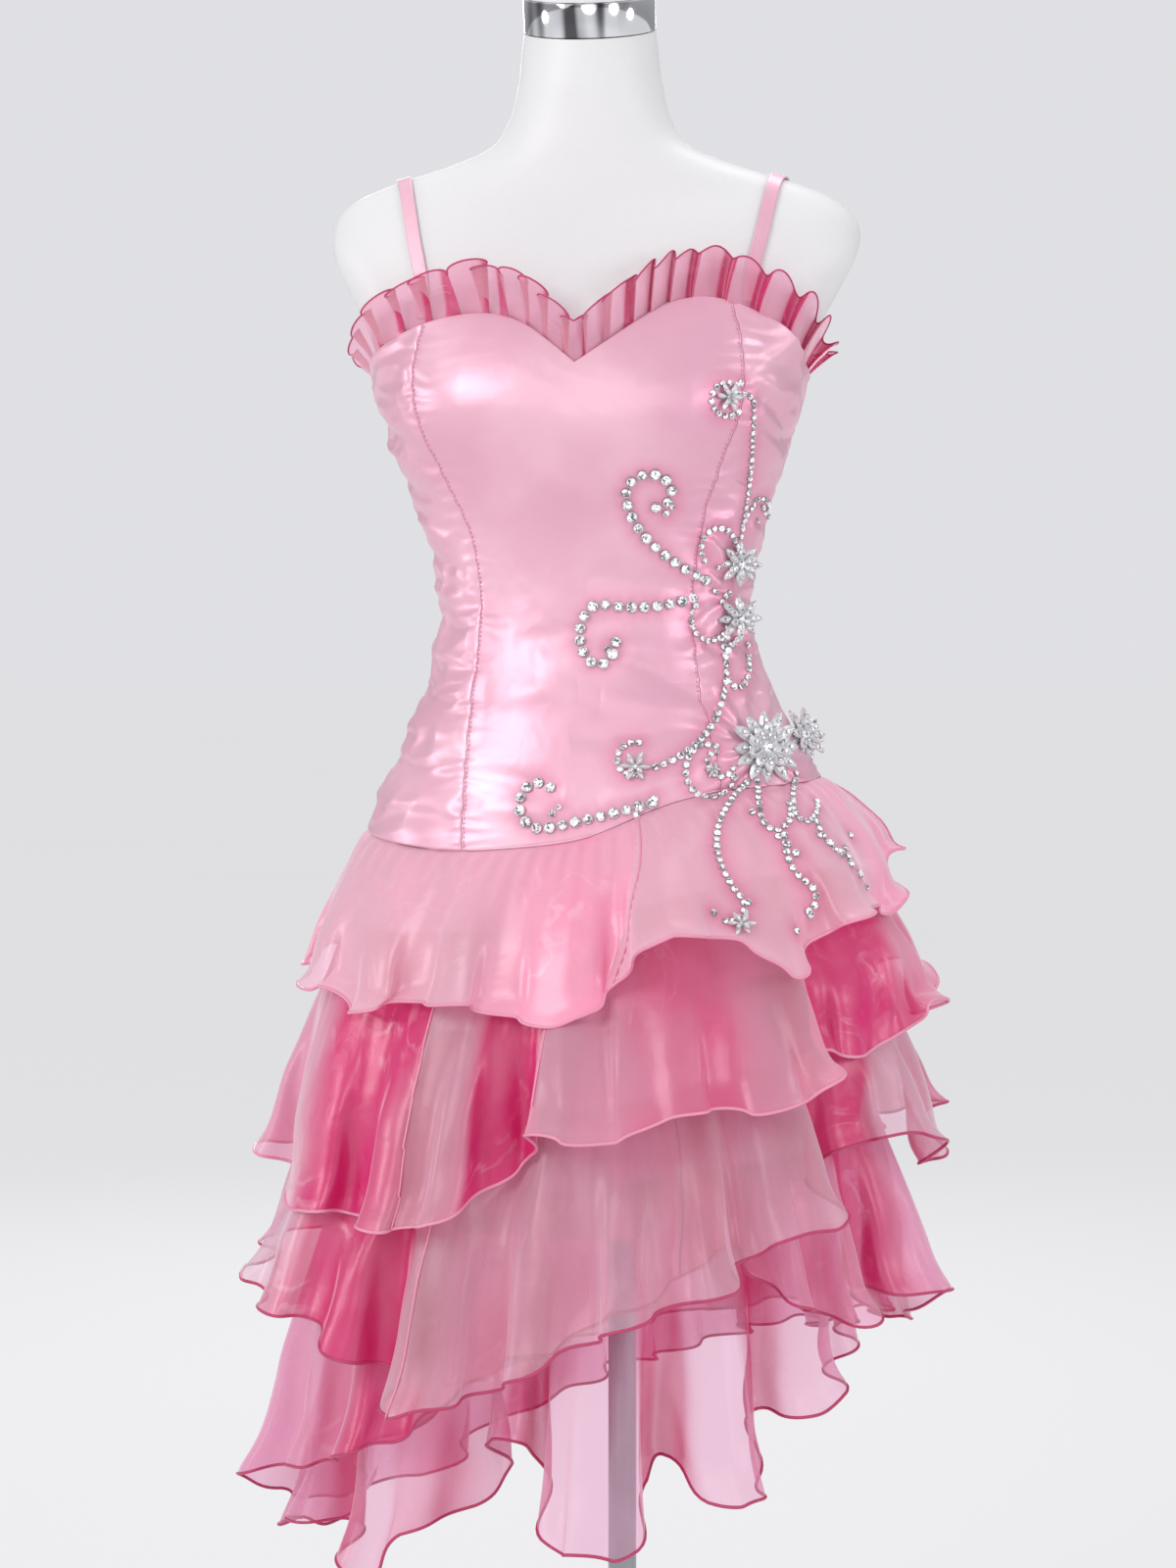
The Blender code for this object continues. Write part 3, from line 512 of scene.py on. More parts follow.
def flounce_point(index, across, down):
    """A point of one flounce, its folds rounded over and its cloth a little uneven."""
    column = HUNG[index][round(across * FLOUNCE_COLUMNS) % FLOUNCE_COLUMNS]
    angle = across * 360 - 180
    height = column[0][0] + (column[-1][0] - column[0][0]) * down
    reach = reach_along(column, height)
    middle = middle_across(height if height > MIDDLE_CHANGE else FORM_FOOT)
    covered = 0.3
    if index:
        over = HUNG[index - 1][round(across * FLOUNCE_COLUMNS) % FLOUNCE_COLUMNS][-1][0]
        covered = min(max((column[0][0] - over) / (column[0][0] - column[-1][0]), 0.25), 0.85)
    phase, span, deep = row_phase(index, angle)
    own = noise.noise(Vector((round(phase - 0.5) * 3.7, index * 5.1, 0)))
    curl = (FOLD_CURL + 0.3 * own) * deep * math.sin(2 * math.pi * phase) * span / math.pi
    curl *= ease_step(covered * 0.8, 1, down)
    gather = math.sin(math.radians(angle) * (SEAM_GATHERS + 6 * index) + index)
    small = gather * GATHER_DEPTH * math.exp(-down * 6) * ease_step(0, 0.05, down)
    place = around(angle + curl, reach + small, height, middle)
    drift = noise.noise(place * 13 + Vector((index * 7, 0, 0))) * DRIFT_DEPTH * ease_step(0.2, 1, down)
    sag = noise.noise(place * 30 + Vector((0, index * 9, 0))) * SAG_DEPTH * ease_step(0.1, 0.4, down)
    out = outward(angle)
    lip = noise.noise(Vector((out.x * 5, out.y * 5, index * 3.0 + 1)))
    flick = ease_step(0.80, 1, down) ** 1.6 * HEM_FLICK * (0.75 + 1.4 * lip)
    wave = noise.noise(Vector((out.x * 5, out.y * 5, index * 2.0))) * HEM_WAVE * 2 * ease_step(0.6, 1, down)
    wave += ease_step(0.88, 1, down) ** 2 * HEM_TURN * (0.6 + 1.2 * lip)
    over = 0.0
    for flounce, at_seam, at_hem, off, fade in PANEL_EDGES:
        past = turn_apart(angle, at_seam + (at_hem - at_seam) * down)
        if flounce == index + 1 and past > 0:
            laps = ease_step(0, EDGE_TURN, past) * (1 - ease_step(EDGE_FLAT, fade, past))
            over += off * MM * laps * ease_step(0, 0.3, down)
    flick -= ease_step(0.55, 1, down) * HEM_DRAW
    return place + out * (drift + sag + flick + over) + Vector((0, 0, wave))


def painted_shade_depth(index, across, down):
    """How deep the colour is, as painted shade: deep in the hollows and where several layers hang together,
    pale as a painted highlight on folds that stand out and on the panel beside each edge.
    """
    angle = across * 360 - 180
    column = HUNG[index][round(across * FLOUNCE_COLUMNS) % FLOUNCE_COLUMNS]
    _, _, reach, mean = flounce_cut(index, angle)
    # Painted shade: deeper where the cloth hangs in from its mean reach, paler where a fold stands out
    hollow = min(max((mean - reach) / (16 * MM), -1), 1) * ease_step(0.1, 0.7, down)
    total = 0.25 + 0.28 * hollow
    # Bands of painted shade, and pale bands of painted highlight, from the table
    for flounce, middle, half_width, strength in PAINTED_SHADE_BANDS:
        if flounce == index + 1:
            lean = noise.noise(Vector((column[0][0] * 7, down * 2.5, middle))) * 5
            away = turn_apart(angle, middle + lean) / half_width
            total += strength * math.exp(-away ** 4)
    # Painted shadow beside each panel edge, and a painted highlight on the panel that stands off over it
    for flounce, at_seam, at_hem, _, fade in PANEL_EDGES:
        past = turn_apart(angle, at_seam + (at_hem - at_seam) * down)
        if flounce == index + 1 and abs(past) < fade:
            total += (-0.45 if past > 0 else 0.4) * (1 - abs(past) / fade) ** 2
    return min(max(total, 0), 1)


def finish_mesh(name, shape, finishes):
    mesh = bpy.data.meshes.new(name)
    shape.to_mesh(mesh)
    shape.free()
    mesh.shade_smooth()
    piece = bpy.data.objects.new(name, mesh)
    for finish in finishes:
        mesh.materials.append(finish)
    bpy.context.scene.collection.objects.link(piece)
    return piece


def cloth(name, columns, rows, place, finish, wall=None, closed=False, depth=None):
    """A sheet of cloth: a grid moved by a rule of its two shares, with its own UV map."""
    shape = bmesh.new()
    bmesh.ops.create_grid(shape, x_segments=columns, y_segments=rows, size=0.5, calc_uvs=True)
    chart = shape.loops.layers.uv.verify()
    for face in shape.faces:
        for loop in face.loops:
            loop[chart].uv = (loop.vert.co.x + 0.5, loop.vert.co.y + 0.5)
    if depth:
        shade = shape.verts.layers.float.new("depth")
        for corner in shape.verts:
            corner[shade] = depth(corner.co.x + 0.5, corner.co.y + 0.5)
    for corner in shape.verts:
        corner.co = place(corner.co.x + 0.5, corner.co.y + 0.5)
    if closed:
        bmesh.ops.remove_doubles(shape, verts=shape.verts, dist=0.00001)
    piece = finish_mesh(name, shape, [finish])
    if wall:
        thick = piece.modifiers.new("thickness", "SOLIDIFY")
        thick.thickness = wall
        thick.offset = 0
        soft = piece.modifiers.new("soft edge", "BEVEL")
        soft.width = wall * 0.35
        soft.segments = 2
        soft.limit_method = "ANGLE"
        soft.angle_limit = math.radians(60)
    return piece


def line_length(points):
    return sum((after - before).length for before, after in zip(points, points[1:]))


def declare_cut(piece, place):
    """Works out how large the flat cut of a laid sheet is; the sizes are not kept."""
    steps = [step / 200 for step in range(201)]
    wide = max(line_length([place(step, up) for step in steps]) for up in (0, 0.5, 1))
    tall = max(line_length([place(across, step) for step in steps]) for across in (0, 0.25, 0.5, 0.75, 1))
    area = sum(face.area for face in piece.data.polygons)
    wide = max(wide, area / tall)


def edge_roll(name, points, radius, finish, closed=True):
    """A narrow rolled or corded edge along a line of points."""
    data = bpy.data.curves.new(name, "CURVE")
    data.dimensions = "3D"
    data.bevel_depth = radius
    data.bevel_resolution = 1
    data.use_fill_caps = not closed
    line = data.splines.new("POLY")
    line.points.add(len(points) - 1)
    for knot, point in zip(line.points, points):
        knot.co = (*point, 1)
    line.use_cyclic_u = closed
    piece = bpy.data.objects.new(name, data)
    bpy.context.scene.collection.objects.link(piece)
    graph = bpy.context.evaluated_depsgraph_get()
    mesh = bpy.data.meshes.new_from_object(piece.evaluated_get(graph))
    bpy.data.objects.remove(piece)
    shape = bmesh.new()
    shape.from_mesh(mesh)
    bpy.data.meshes.remove(mesh)
    bmesh.ops.remove_doubles(shape, verts=shape.verts, dist=0.000001)
    return finish_mesh(name, shape, [finish])


def turned(name, profile, steps, finish):
    """A turned piece from its outer profile, top to bottom, both ends on the axis."""
    shape = bmesh.new()
    corners = [shape.verts.new((radius, 0, height)) for radius, height in profile]
    edges = [shape.edges.new(pair) for pair in zip(corners, corners[1:])]
    bmesh.ops.spin(shape, geom=corners + edges, axis=(0, 0, 1), cent=(0, 0, 0), steps=steps,
                   angle=2 * math.pi, use_merge=True)
    bmesh.ops.remove_doubles(shape, verts=shape.verts, dist=0.000001)
    bmesh.ops.recalc_face_normals(shape, faces=shape.faces)
    piece = finish_mesh(name, shape, [finish])
    piece.data.set_sharp_from_angle(angle=math.radians(35))
    return piece


def settle(piece, slot, *nodes):
    """Fixes a piece to the body and hides the nodes of the solids that it stands for; the slot is not used.
    """
    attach(piece, "root")
    if nodes:
        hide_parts(*nodes)


# Materials


def feed(tree, socket, value):
    """Sets a socket to a number or a colour, or links another socket to it."""
    if isinstance(value, bpy.types.NodeSocket):
        tree.links.new(value, socket)
    elif isinstance(value, tuple) and socket.type == "RGBA":
        socket.default_value = (*value, 1.0)
    else:
        socket.default_value = value


def add_node(tree, kind, inputs, **settings):
    """Adds a node with its own settings, and feeds its sockets by name or number."""
    made = tree.nodes.new("ShaderNode" + kind)
    for name, value in settings.items():
        setattr(made, name, value)
    for label, value in inputs.items():
        feed(tree, made.inputs[label], value)
    return made


def maths(tree, kind, first, second=None, clamp=False):
    inputs = {0: first} if second is None else {0: first, 1: second}
    return add_node(tree, "Math", inputs, operation=kind, use_clamp=clamp).outputs[0]


def mix_colour(tree, share, first, second):
    return add_node(tree, "Mix", {0: share, 6: first, 7: second}, data_type="RGBA").outputs[2]


def ramp(tree, value, low, high):
    made = add_node(tree, "MapRange", {"Value": value, "From Min": low, "From Max": high},
                    interpolation_type="SMOOTHSTEP")
    return made.outputs["Result"]


def clouds(tree, where, scale, detail=2.0, distortion=0.0):
    made = add_node(tree, "TexNoise", {"Vector": where, "Scale": scale, "Detail": detail,
                                       "Distortion": distortion})
    return made.outputs["Fac"]


def bump(tree, height, strength, distance, before=None):
    inputs = {"Height": height, "Strength": strength, "Distance": distance}
    if before:
        inputs["Normal"] = before
    return add_node(tree, "Bump", inputs).outputs["Normal"]


def own_place(tree):
    return add_node(tree, "TexCoord", {}).outputs["Object"]


def weave_group():
    """Fine crossed threads as a height and a shade, from object coordinates."""
    group = bpy.data.node_groups.new("crossed threads", "ShaderNodeTree")
    for label, way, kind in (("Coordinates", "INPUT", "Vector"), ("Threads", "INPUT", "Float"),
                             ("Height", "OUTPUT", "Float"), ("Shade", "OUTPUT", "Float")):
        group.interface.new_socket(label, in_out=way, socket_type="NodeSocket" + kind)
    source = group.nodes.new("NodeGroupInput")
    sink = group.nodes.new("NodeGroupOutput")
    where = source.outputs["Coordinates"]
    scaled = add_node(group, "VectorMath", {"Scale": source.outputs["Threads"]}, operation="SCALE")
    feed(group, scaled.inputs[0], where)
    apart = add_node(group, "SeparateXYZ", {0: scaled.outputs[0]})
    across = maths(group, "SINE", maths(group, "ADD", apart.outputs[0], apart.outputs[1]))
    upright = maths(group, "SINE", apart.outputs[2])
    feed(group, sink.inputs["Height"], maths(group, "MULTIPLY", across, upright))
    feed(group, sink.inputs["Shade"], clouds(group, where, 9.0, 5.0))
    return group


WEAVE = weave_group()
# Pale pink painted into the organza as glints and as sheen along its rims
PAINTED_GLINT = (0.95, 0.72, 0.82)


def new_material(name):
    made = bpy.data.materials.new(name)
    made.use_nodes = True
    return made, made.node_tree, made.node_tree.nodes["Principled BSDF"]


def dress_shader(tree, shader, values):
    for label, value in values.items():
        feed(tree, shader.inputs[label], value)


def place_weave(tree, threads):
    where = own_place(tree)
    weave = add_node(tree, "Group", {"Coordinates": where, "Threads": threads}, node_tree=WEAVE)
    return where, weave.outputs["Height"], weave.outputs["Shade"]


# Painted shade: the cloth's colour turns darker rose near the stones
def painted_stone_shade(tree, colour):
    near = add_node(tree, "Attribute", {}, attribute_name="near_stones")
    return mix_colour(tree, maths(tree, "MULTIPLY", near.outputs["Fac"], 0.6), colour, (0.72, 0.19, 0.34))


def satin_material(name, light, shade, roughness):
    made, tree, shader = new_material(name)
    where, threads, patches = place_weave(tree, 9000.0)
    colour = mix_colour(tree, ramp(tree, patches, 0.35, 0.7), shade, light)
    cloudy = clouds(tree, where, 38.0, 3.0)
    dress_shader(tree, shader, {
        "Base Color": painted_stone_shade(tree, colour),
        "Roughness": maths(tree, "ADD", maths(tree, "MULTIPLY", cloudy, 0.1), roughness - 0.05),
        "Normal": bump(tree, threads, 0.05, 0.0001, bump(tree, cloudy, 0.25, 0.002)),
        "Metallic": 0.36, "Specular IOR Level": 0.8,
        "Coat Weight": 0.2, "Coat Roughness": 0.3,
        "Sheen Weight": 0.2, "Sheen Roughness": 0.4,
    })
    return made


def organza_material(name, light, deep, tint, cover, painted_glint_strength):
    """Sheer cloth: pale where one layer hangs free, deep where its folds gather, as painted shade in the
    hollows and overlaps and painted highlight on folds that stand out. Painted glint lines, a painted sheen
    at grazing rims and a faint painted glow are mixed in.
    """
    made, tree, shader = new_material(name)
    where, threads, _ = place_weave(tree, 4000.0)
    chart = add_node(tree, "UVMap", {}).outputs["UV"]
    stretched = add_node(tree, "Mapping", {"Vector": chart, "Scale": (26.0, 2.2, 1.0)}).outputs[0]
    lengths = clouds(tree, stretched, 1.0, 4.0)
    # The depth attribute is painted shade: deep in hollows and where layers hang together, pale where folds
    # stand out; uneven lengths add random tone
    gathered = add_node(tree, "Attribute", {}, attribute_name="depth").outputs["Fac"]
    uneven = maths(tree, "MULTIPLY", maths(tree, "SUBTRACT", lengths, 0.5), 0.6)
    depth = maths(tree, "ADD", gathered, uneven, clamp=True)
    # Painted glints: thin wandering pale lines stand in for light caught on creases
    finer = add_node(tree, "Mapping", {"Vector": chart, "Scale": (34.0, 3.4, 1.0)}).outputs[0]
    off_line = maths(tree, "ABSOLUTE", maths(tree, "SUBTRACT", clouds(tree, finer, 1.0, 3.0, 1.2), 0.5))
    line = maths(tree, "SUBTRACT", 1.0, ramp(tree, off_line, 0.0, 0.06))
    painted_glint_lines = maths(tree, "MULTIPLY", maths(tree, "MULTIPLY", line, painted_glint_strength), ramp(tree, lengths, 0.52, 0.66))
    colour = mix_colour(tree, painted_glint_lines, mix_colour(tree, depth, light, deep), PAINTED_GLINT)
    # Painted sheen: the colour turns pale towards grazing angles, standing in for light along the folds'
    # rims
    turned_away = add_node(tree, "LayerWeight", {"Blend": 0.5}).outputs["Facing"]
    rim = maths(tree, "MULTIPLY", ramp(tree, turned_away, 0.6, 0.97), 0.5)
    colour = mix_colour(tree, rim, painted_stone_shade(tree, colour), PAINTED_GLINT)
    crinkle = bump(tree, clouds(tree, where, 26.0, 3.0, 0.8), 0.4, 0.004)
    # Emission gives a faint painted glow, standing in for light that shines through the cloth
    dress_shader(tree, shader, {
        "Base Color": colour, "Emission Color": colour,
        "Emission Strength": 0.07, "Roughness": 0.37,
        "Normal": bump(tree, threads, 0.1, 0.0002, crinkle),
        "Metallic": 0.05, "Specular IOR Level": 0.8,
        "Coat Weight": 0.22, "Coat Roughness": 0.2,
        "Sheen Weight": 0.12, "Sheen Roughness": 0.35,
    })
    clear = add_node(tree, "BsdfTransparent", {"Color": tint})
    facing = add_node(tree, "LayerWeight", {"Blend": 0.35}).outputs["Facing"]
    closer = maths(tree, "ADD", maths(tree, "MULTIPLY", facing, 0.45), maths(tree, "MULTIPLY", depth, 0.46))
    share = maths(tree, "ADD", closer, cover, clamp=True)
    both = add_node(tree, "MixShader", {0: share, 1: clear.outputs[0], 2: shader.outputs[0]})
    feed(tree, tree.nodes["Material Output"].inputs["Surface"], both.outputs[0])
    return made


def plain_material(name, colour, roughness, metallic=0.0, grain=40.0, swing=0.06):
    """A hard finish whose gloss and shade vary a little over the surface."""
    made, tree, shader = new_material(name)
    cloudy = clouds(tree, own_place(tree), grain, 4.0)
    darker = tuple(part * (1 - swing) for part in colour)
    dress_shader(tree, shader, {
        "Base Color": mix_colour(tree, cloudy, darker, colour), "Metallic": metallic,
        "Roughness": maths(tree, "ADD", maths(tree, "MULTIPLY", cloudy, swing), roughness),
    })
    return made


def stone_material():
    """Cut crystal with painted reflection: small cells, most of them pale and some dark, as cut faces
    mirror the room, and a faint painted glow.
    """
    made, tree, shader = new_material("clear stone")
    # Painted reflection: cells of light and dark colour stand in for what the cut faces mirror
    painted_facets = add_node(tree, "TexVoronoi", {"Vector": own_place(tree), "Scale": 620.0})
    apart = add_node(tree, "SeparateColor", {0: painted_facets.outputs["Color"]})
    painted_reflection = ramp(tree, apart.outputs[0], 0.12, 0.62)
    colour = mix_colour(tree, painted_reflection, (0.13, 0.13, 0.15), (0.95, 0.95, 0.98))
    dress_shader(tree, shader, {
        "Base Color": colour, "Emission Color": colour, "Emission Strength": 0.16,
        "Roughness": 0.06, "Metallic": 0.25,
        "Coat Weight": 0.8, "Coat Roughness": 0.03,
        "Normal": bump(tree, apart.outputs[1], 0.6, 0.0006),
    })
    return made


def chrome_material():
    """Polished metal with painted reflection: pale and dark upright bands in its colour, like those that a
    round ring mirrors.
    """
    made, tree, shader = new_material("chrome")
    stretched = add_node(tree, "Mapping", {"Vector": own_place(tree), "Location": (0.4, 0.0, 0.0),
                                           "Scale": (52.0, 16.0, 0.0)}).outputs[0]
    # Painted reflection: upright bands of light and dark colour
    painted_reflection = ramp(tree, clouds(tree, stretched, 1.0, 1.0), 0.42, 0.56)
    dress_shader(tree, shader, {
        "Base Color": mix_colour(tree, painted_reflection, (0.10, 0.10, 0.11), (0.80, 0.81, 0.83)),
        "Metallic": 1.0, "Roughness": 0.09,
    })
    return made


SATIN = satin_material("pink satin", (0.86, 0.50, 0.61), (0.76, 0.39, 0.51), 0.40)
FOUNDATION_SATIN = satin_material("foundation satin", (0.80, 0.50, 0.61), (0.72, 0.40, 0.52), 0.4)
WHITE_SHELL = plain_material("white shell", (0.74, 0.735, 0.74), 0.42, grain=220.0, swing=0.04)
CHROME = chrome_material()
STEEL = plain_material("brushed steel", (0.36, 0.37, 0.39), 0.28, metallic=1.0, grain=90.0)
SETTING = plain_material("silver setting", (0.60, 0.60, 0.62), 0.3, metallic=0.9, grain=700.0, swing=0.4)
STONE = stone_material()
PETAL = plain_material("silver petals", (0.84, 0.84, 0.86), 0.2, metallic=0.7, grain=420.0, swing=0.45)
THREAD = plain_material("pink thread", (0.70, 0.27, 0.41), 0.6, grain=500.0)
# Organza: pale colour, deep colour for painted shade and layered cloth, tint seen through, cover, and
# strength of the painted glint lines
FLOUNCE_FINISHES = [
    organza_material("organza 1", (0.86, 0.53, 0.64), (0.80, 0.25, 0.40), (0.94, 0.56, 0.70), 0.50, 0.2),
    organza_material("organza 2", (0.87, 0.50, 0.63), (0.60, 0.008, 0.135), (0.93, 0.50, 0.66), 0.34, 0.2),
    organza_material("organza 3", (0.80, 0.60, 0.69), (0.58, 0.007, 0.125), (0.92, 0.70, 0.80), 0.26, 0.2),
    organza_material("organza 4", (0.87, 0.49, 0.65), (0.58, 0.008, 0.13), (0.92, 0.60, 0.74), 0.21, 0.2),
    organza_material("organza 5", (0.87, 0.49, 0.65), (0.58, 0.010, 0.135), (0.93, 0.65, 0.78), 0.16, 0.2),
]
RUFFLE_FINISH = organza_material("ruffle organza", (0.90, 0.55, 0.67), (0.54, 0.008, 0.115),
                                 (0.93, 0.55, 0.69), 0.28, 0.15)
LIGHT_ROLL = plain_material("pale rolled edge", (0.80, 0.30, 0.44), 0.35, grain=400.0)
DEEP_ROLL = plain_material("deep rolled edge", (0.50, 0.045, 0.14), 0.35, grain=400.0)


# Form and stand


def dress_form():
    low = FORM_SECTIONS[0][0] * MM
    high = FORM_SECTIONS[-1][0] * MM
    rise = math.tan(NECK_TILT)

    def place(across, up):
        angle = across * 360
        height = low + (high - low) * up
        point = on_body(angle, height, 0)
        tilt = ease_step(0.94, 1, up)
        neck = around(angle, NECK_RADIUS, NECK_TOP, NECK_CENTRE_X)
        point.z += neck.y * rise * tilt
        return point

    shape = bmesh.new()
    bmesh.ops.create_grid(shape, x_segments=120, y_segments=180, size=0.5)
    for corner in shape.verts:
        corner.co = place(corner.co.x + 0.5, corner.co.y + 0.5)
    bmesh.ops.remove_doubles(shape, verts=shape.verts, dist=0.00001)
    rims = [edge for edge in shape.edges if edge.is_boundary]
    top = [edge for edge in rims if edge.verts[0].co.z > 1.0]
    foot = [edge for edge in rims if edge.verts[0].co.z < 1.0]
    lifted = bmesh.ops.extrude_edge_only(shape, edges=top)["geom"]
    for corner in [item for item in lifted if isinstance(item, bmesh.types.BMVert)]:
        turn = math.degrees(math.atan2(corner.co.x - NECK_CENTRE_X, -corner.co.y))
        corner.co = around(turn, NECK_RADIUS, NECK_TOP + NECK_SEAT, NECK_CENTRE_X)
        corner.co.z += corner.co.y * rise
    rim = [item for item in lifted if isinstance(item, bmesh.types.BMEdge)]
    bmesh.ops.contextual_create(shape, geom=rim)
    bmesh.ops.contextual_create(shape, geom=foot)
    bmesh.ops.recalc_face_normals(shape, faces=shape.faces)
    piece = finish_mesh("dress_form", shape, [WHITE_SHELL])
    piece.data.set_sharp_from_angle(angle=math.radians(50))
    settle(piece, "white_shell", "form_torso")


def rounded(radius, height, edge, steps):
    """The rounded upper edge of a turned piece, as radius and height."""
    made = []
    for step in range(steps + 1):
        turn = math.radians(90 - step * 90 / steps)
        made.append((radius - edge + edge * math.cos(turn), height - edge + edge * math.sin(turn)))
    return made


def neck_fittings():
    edge = 1.2 * MM
    ring = turned("chrome_neck_ring",
                  [(0, RING_HEIGHT), (NECK_RADIUS - edge, RING_HEIGHT),
                   (NECK_RADIUS - edge * 0.3, RING_HEIGHT - edge * 0.3),
                   (NECK_RADIUS, RING_HEIGHT - edge), (NECK_RADIUS, edge),
                   (NECK_RADIUS - edge * 0.3, edge * 0.3), (NECK_RADIUS - edge, 0), (0, 0)],
                  96, CHROME)
    radius = NECK_RADIUS - 2 * MM
    profile = [(0, CAP_HEIGHT), *rounded(radius, CAP_HEIGHT, 3 * MM, 6), (radius, 0), (0, 0)]
    cap = turned("white_neck_cap", profile, 96, WHITE_SHELL)
    seat = Matrix.Translation((NECK_CENTRE_X, 0, NECK_TOP + NECK_SEAT + 1.2 * SEAM_GAP))
    tip = Matrix.Rotation(NECK_TILT, 4, "X")
    ring.data.transform(seat @ tip)
    cap.data.transform(seat @ tip @ Matrix.Translation((0, 0, RING_HEIGHT + SEAM_GAP)))
    settle(ring, "chrome", "neck_ring")
    settle(cap, "white_shell", "neck_cap")


def stand():
    _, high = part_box("base_plate")
    plate = turned("round_base", [(0, high.z), *rounded(high.x, high.z, 4 * MM, 8), (high.x, 0), (0, 0)],
                   128, STEEL)
    settle(plate, "steel", "base_plate")
    low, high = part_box("pole")
    pole = turned("stand_pole", [(0, high.z), (high.x, high.z), (high.x, low.z), (0, low.z)], 64, STEEL)
    settle(pole, "steel", "pole")


# Bodice, straps and ruffle


def crease_depth(angle, height):
    """How far the satin sinks (or stands, below zero) at a place, from the table of creases."""
    total = 0.0
    for first_angle, first_height, last_angle, last_height, half_width, depth in BODICE_CREASES:
        across = math.radians(turn_apart(angle, first_angle)) * BODY_ROUND
        run = math.radians(last_angle - first_angle) * BODY_ROUND
        up = height - first_height * MM
        climb = (last_height - first_height) * MM
        if abs(across) > abs(run) + 0.05:
            continue
        share = (across * run + up * climb) / (run * run + climb * climb)
        held = min(max(share, 0), 1)
        away = math.hypot(across - run * held, up - climb * held) / (half_width * MM)
        taper = math.sin(math.pi * min(max(share * 0.9 + 0.08, 0), 1)) ** 0.7
        total += depth * MM * math.exp(-away * away) * taper
    return total


def seam_pucker(angle, height, seam_angles):
    """Short puckers that run off the sewn seams."""
    total = 0.0
    for index, seam in enumerate(seam_angles):
        away = math.radians(abs(turn_apart(angle, seam))) * BODY_ROUND
        if away < PUCKER_REACH * 3:
            uneven = noise.noise(Vector((index * 9.0, height * 60, away * 30)))
            wave = math.sin(2 * math.pi * height / PUCKER_PITCH + uneven * 5)
            total += wave * math.exp(-(away / PUCKER_REACH) ** 1.2) * (0.6 + 0.6 * uneven)
    return total * PUCKER_DEPTH


def pulled_folds(angle, height):
    """Folds that run out from each place where a brooch draws the satin together."""
    total = 0.0
    for index, (centre_angle, centre_height, folds, reach, depth) in enumerate(PULLS):
        across = math.radians(turn_apart(angle, centre_angle)) * BODY_ROUND
        up = height - centre_height * MM
        away = math.hypot(across, up)
        if away < reach * MM * 4:
            turn = math.atan2(up, across)
            warp = noise.noise(Vector((across * 22, up * 22, index * 3.0)))
            wave = math.cos(turn * folds + warp * 2.2 + index)
            total += wave * depth * MM * math.exp(-away / (reach * MM)) * ease_step(0.008, 0.03, away)
    return total


def crumple(angle, height):
    """Crushed creases of the side panels, and the slow swell of the front one."""
    along = math.radians(angle) * BODY_ROUND
    warp = noise.noise(Vector((along * 16, height * 16, 2.0))) * 0.9
    fine = noise.noise(Vector((along * 34 + height * 26 + warp, height * 58 - along * 20, 5.0)))
    broad = noise.noise(Vector((along * 13 - height * 9, height * 30 + along * 11 + warp, 7.5)))
    ridge = (0.42 - abs(fine)) * 1.5 + (0.4 - abs(broad)) * 1.3
    seam = princess_angle(height)
    side = min(abs(turn_apart(angle, seam + 20)), abs(turn_apart(angle, -seam - 20)))
    share = 0.10 + 0.90 * (1 - ease_step(14, 26, side))
    swell = noise.noise(Vector((along * 5, height * 11, 1.0))) * SWELL_DEPTH
    return ridge * CRUMPLE_DEPTH * share + swell


def bodice_point(angle, height):
    seam = princess_angle(height)
    seams = (-seam, seam, -SIDE_SEAM_ANGLE, SIDE_SEAM_ANGLE, 180)
    sink = (crease_depth(angle, height) * CREASE_STRENGTH + pulled_folds(angle, height)
            - crumple(angle, height) + seam_pucker(angle, height, seams))
    nearest = min(abs(turn_apart(angle, place)) for place in seams)
    groove = math.exp(-(math.radians(nearest) * BODY_ROUND / GROOVE_WIDTH) ** 2) * GROOVE_DEPTH
    held = max(min(sink, DEEPEST_SINK), -TALLEST_FOLD)
    point = on_body(angle, height, BODY_EASE + PANEL_REST - held - groove)
    soft = noise.noise(point * 20) * 0.5 * MM
    return point + outward(angle) * soft


def bodice_panel(name, columns, left, right, node):
    def place(across, up):
        low_guess = waist_height(left(0.88) * (1 - across) + right(0.88) * across)
        high_guess = neck_height(left(1.22) * (1 - across) + right(1.22) * across)
        height = (low_guess + SEAM_GAP) * (1 - up) + (high_guess + 0.5 * MM) * up
        trim = math.degrees(0.15 * MM / BODY_ROUND)
        angle = (left(height) + trim) * (1 - across) + (right(height) - trim) * across
        return bodice_point(angle, height)

    panel = cloth(name, columns, 200, place, SATIN, SATIN_WALL)
    declare_cut(panel, place)
    settle(panel, "satin", node)


def bodice():
    def princess_left(height):
        return -princess_angle(height)

    def straight(angle):
        return lambda height: angle

    side = SIDE_SEAM_ANGLE
    for place, columns, left, right in (
            ("front_centre", 150, princess_left, princess_angle),
            ("side_front_left", 64, straight(-side), princess_left),
            ("side_front_right", 64, princess_angle, straight(side)),
            ("back_right", 120, straight(side), straight(180)),
            ("back_left", 120, straight(180), straight(360 - side))):
        bodice_panel("satin_" + place, columns, left, right, "bodice_" + place)


def surface_tree(pieces):
    graph = bpy.context.evaluated_depsgraph_get()
    shape = bmesh.new()
    for piece in pieces:
        mesh = piece.evaluated_get(graph).to_mesh()
        shape.from_mesh(mesh)
        piece.evaluated_get(graph).to_mesh_clear()
    tree = BVHTree.FromBMesh(shape)
    shape.free()
    return tree


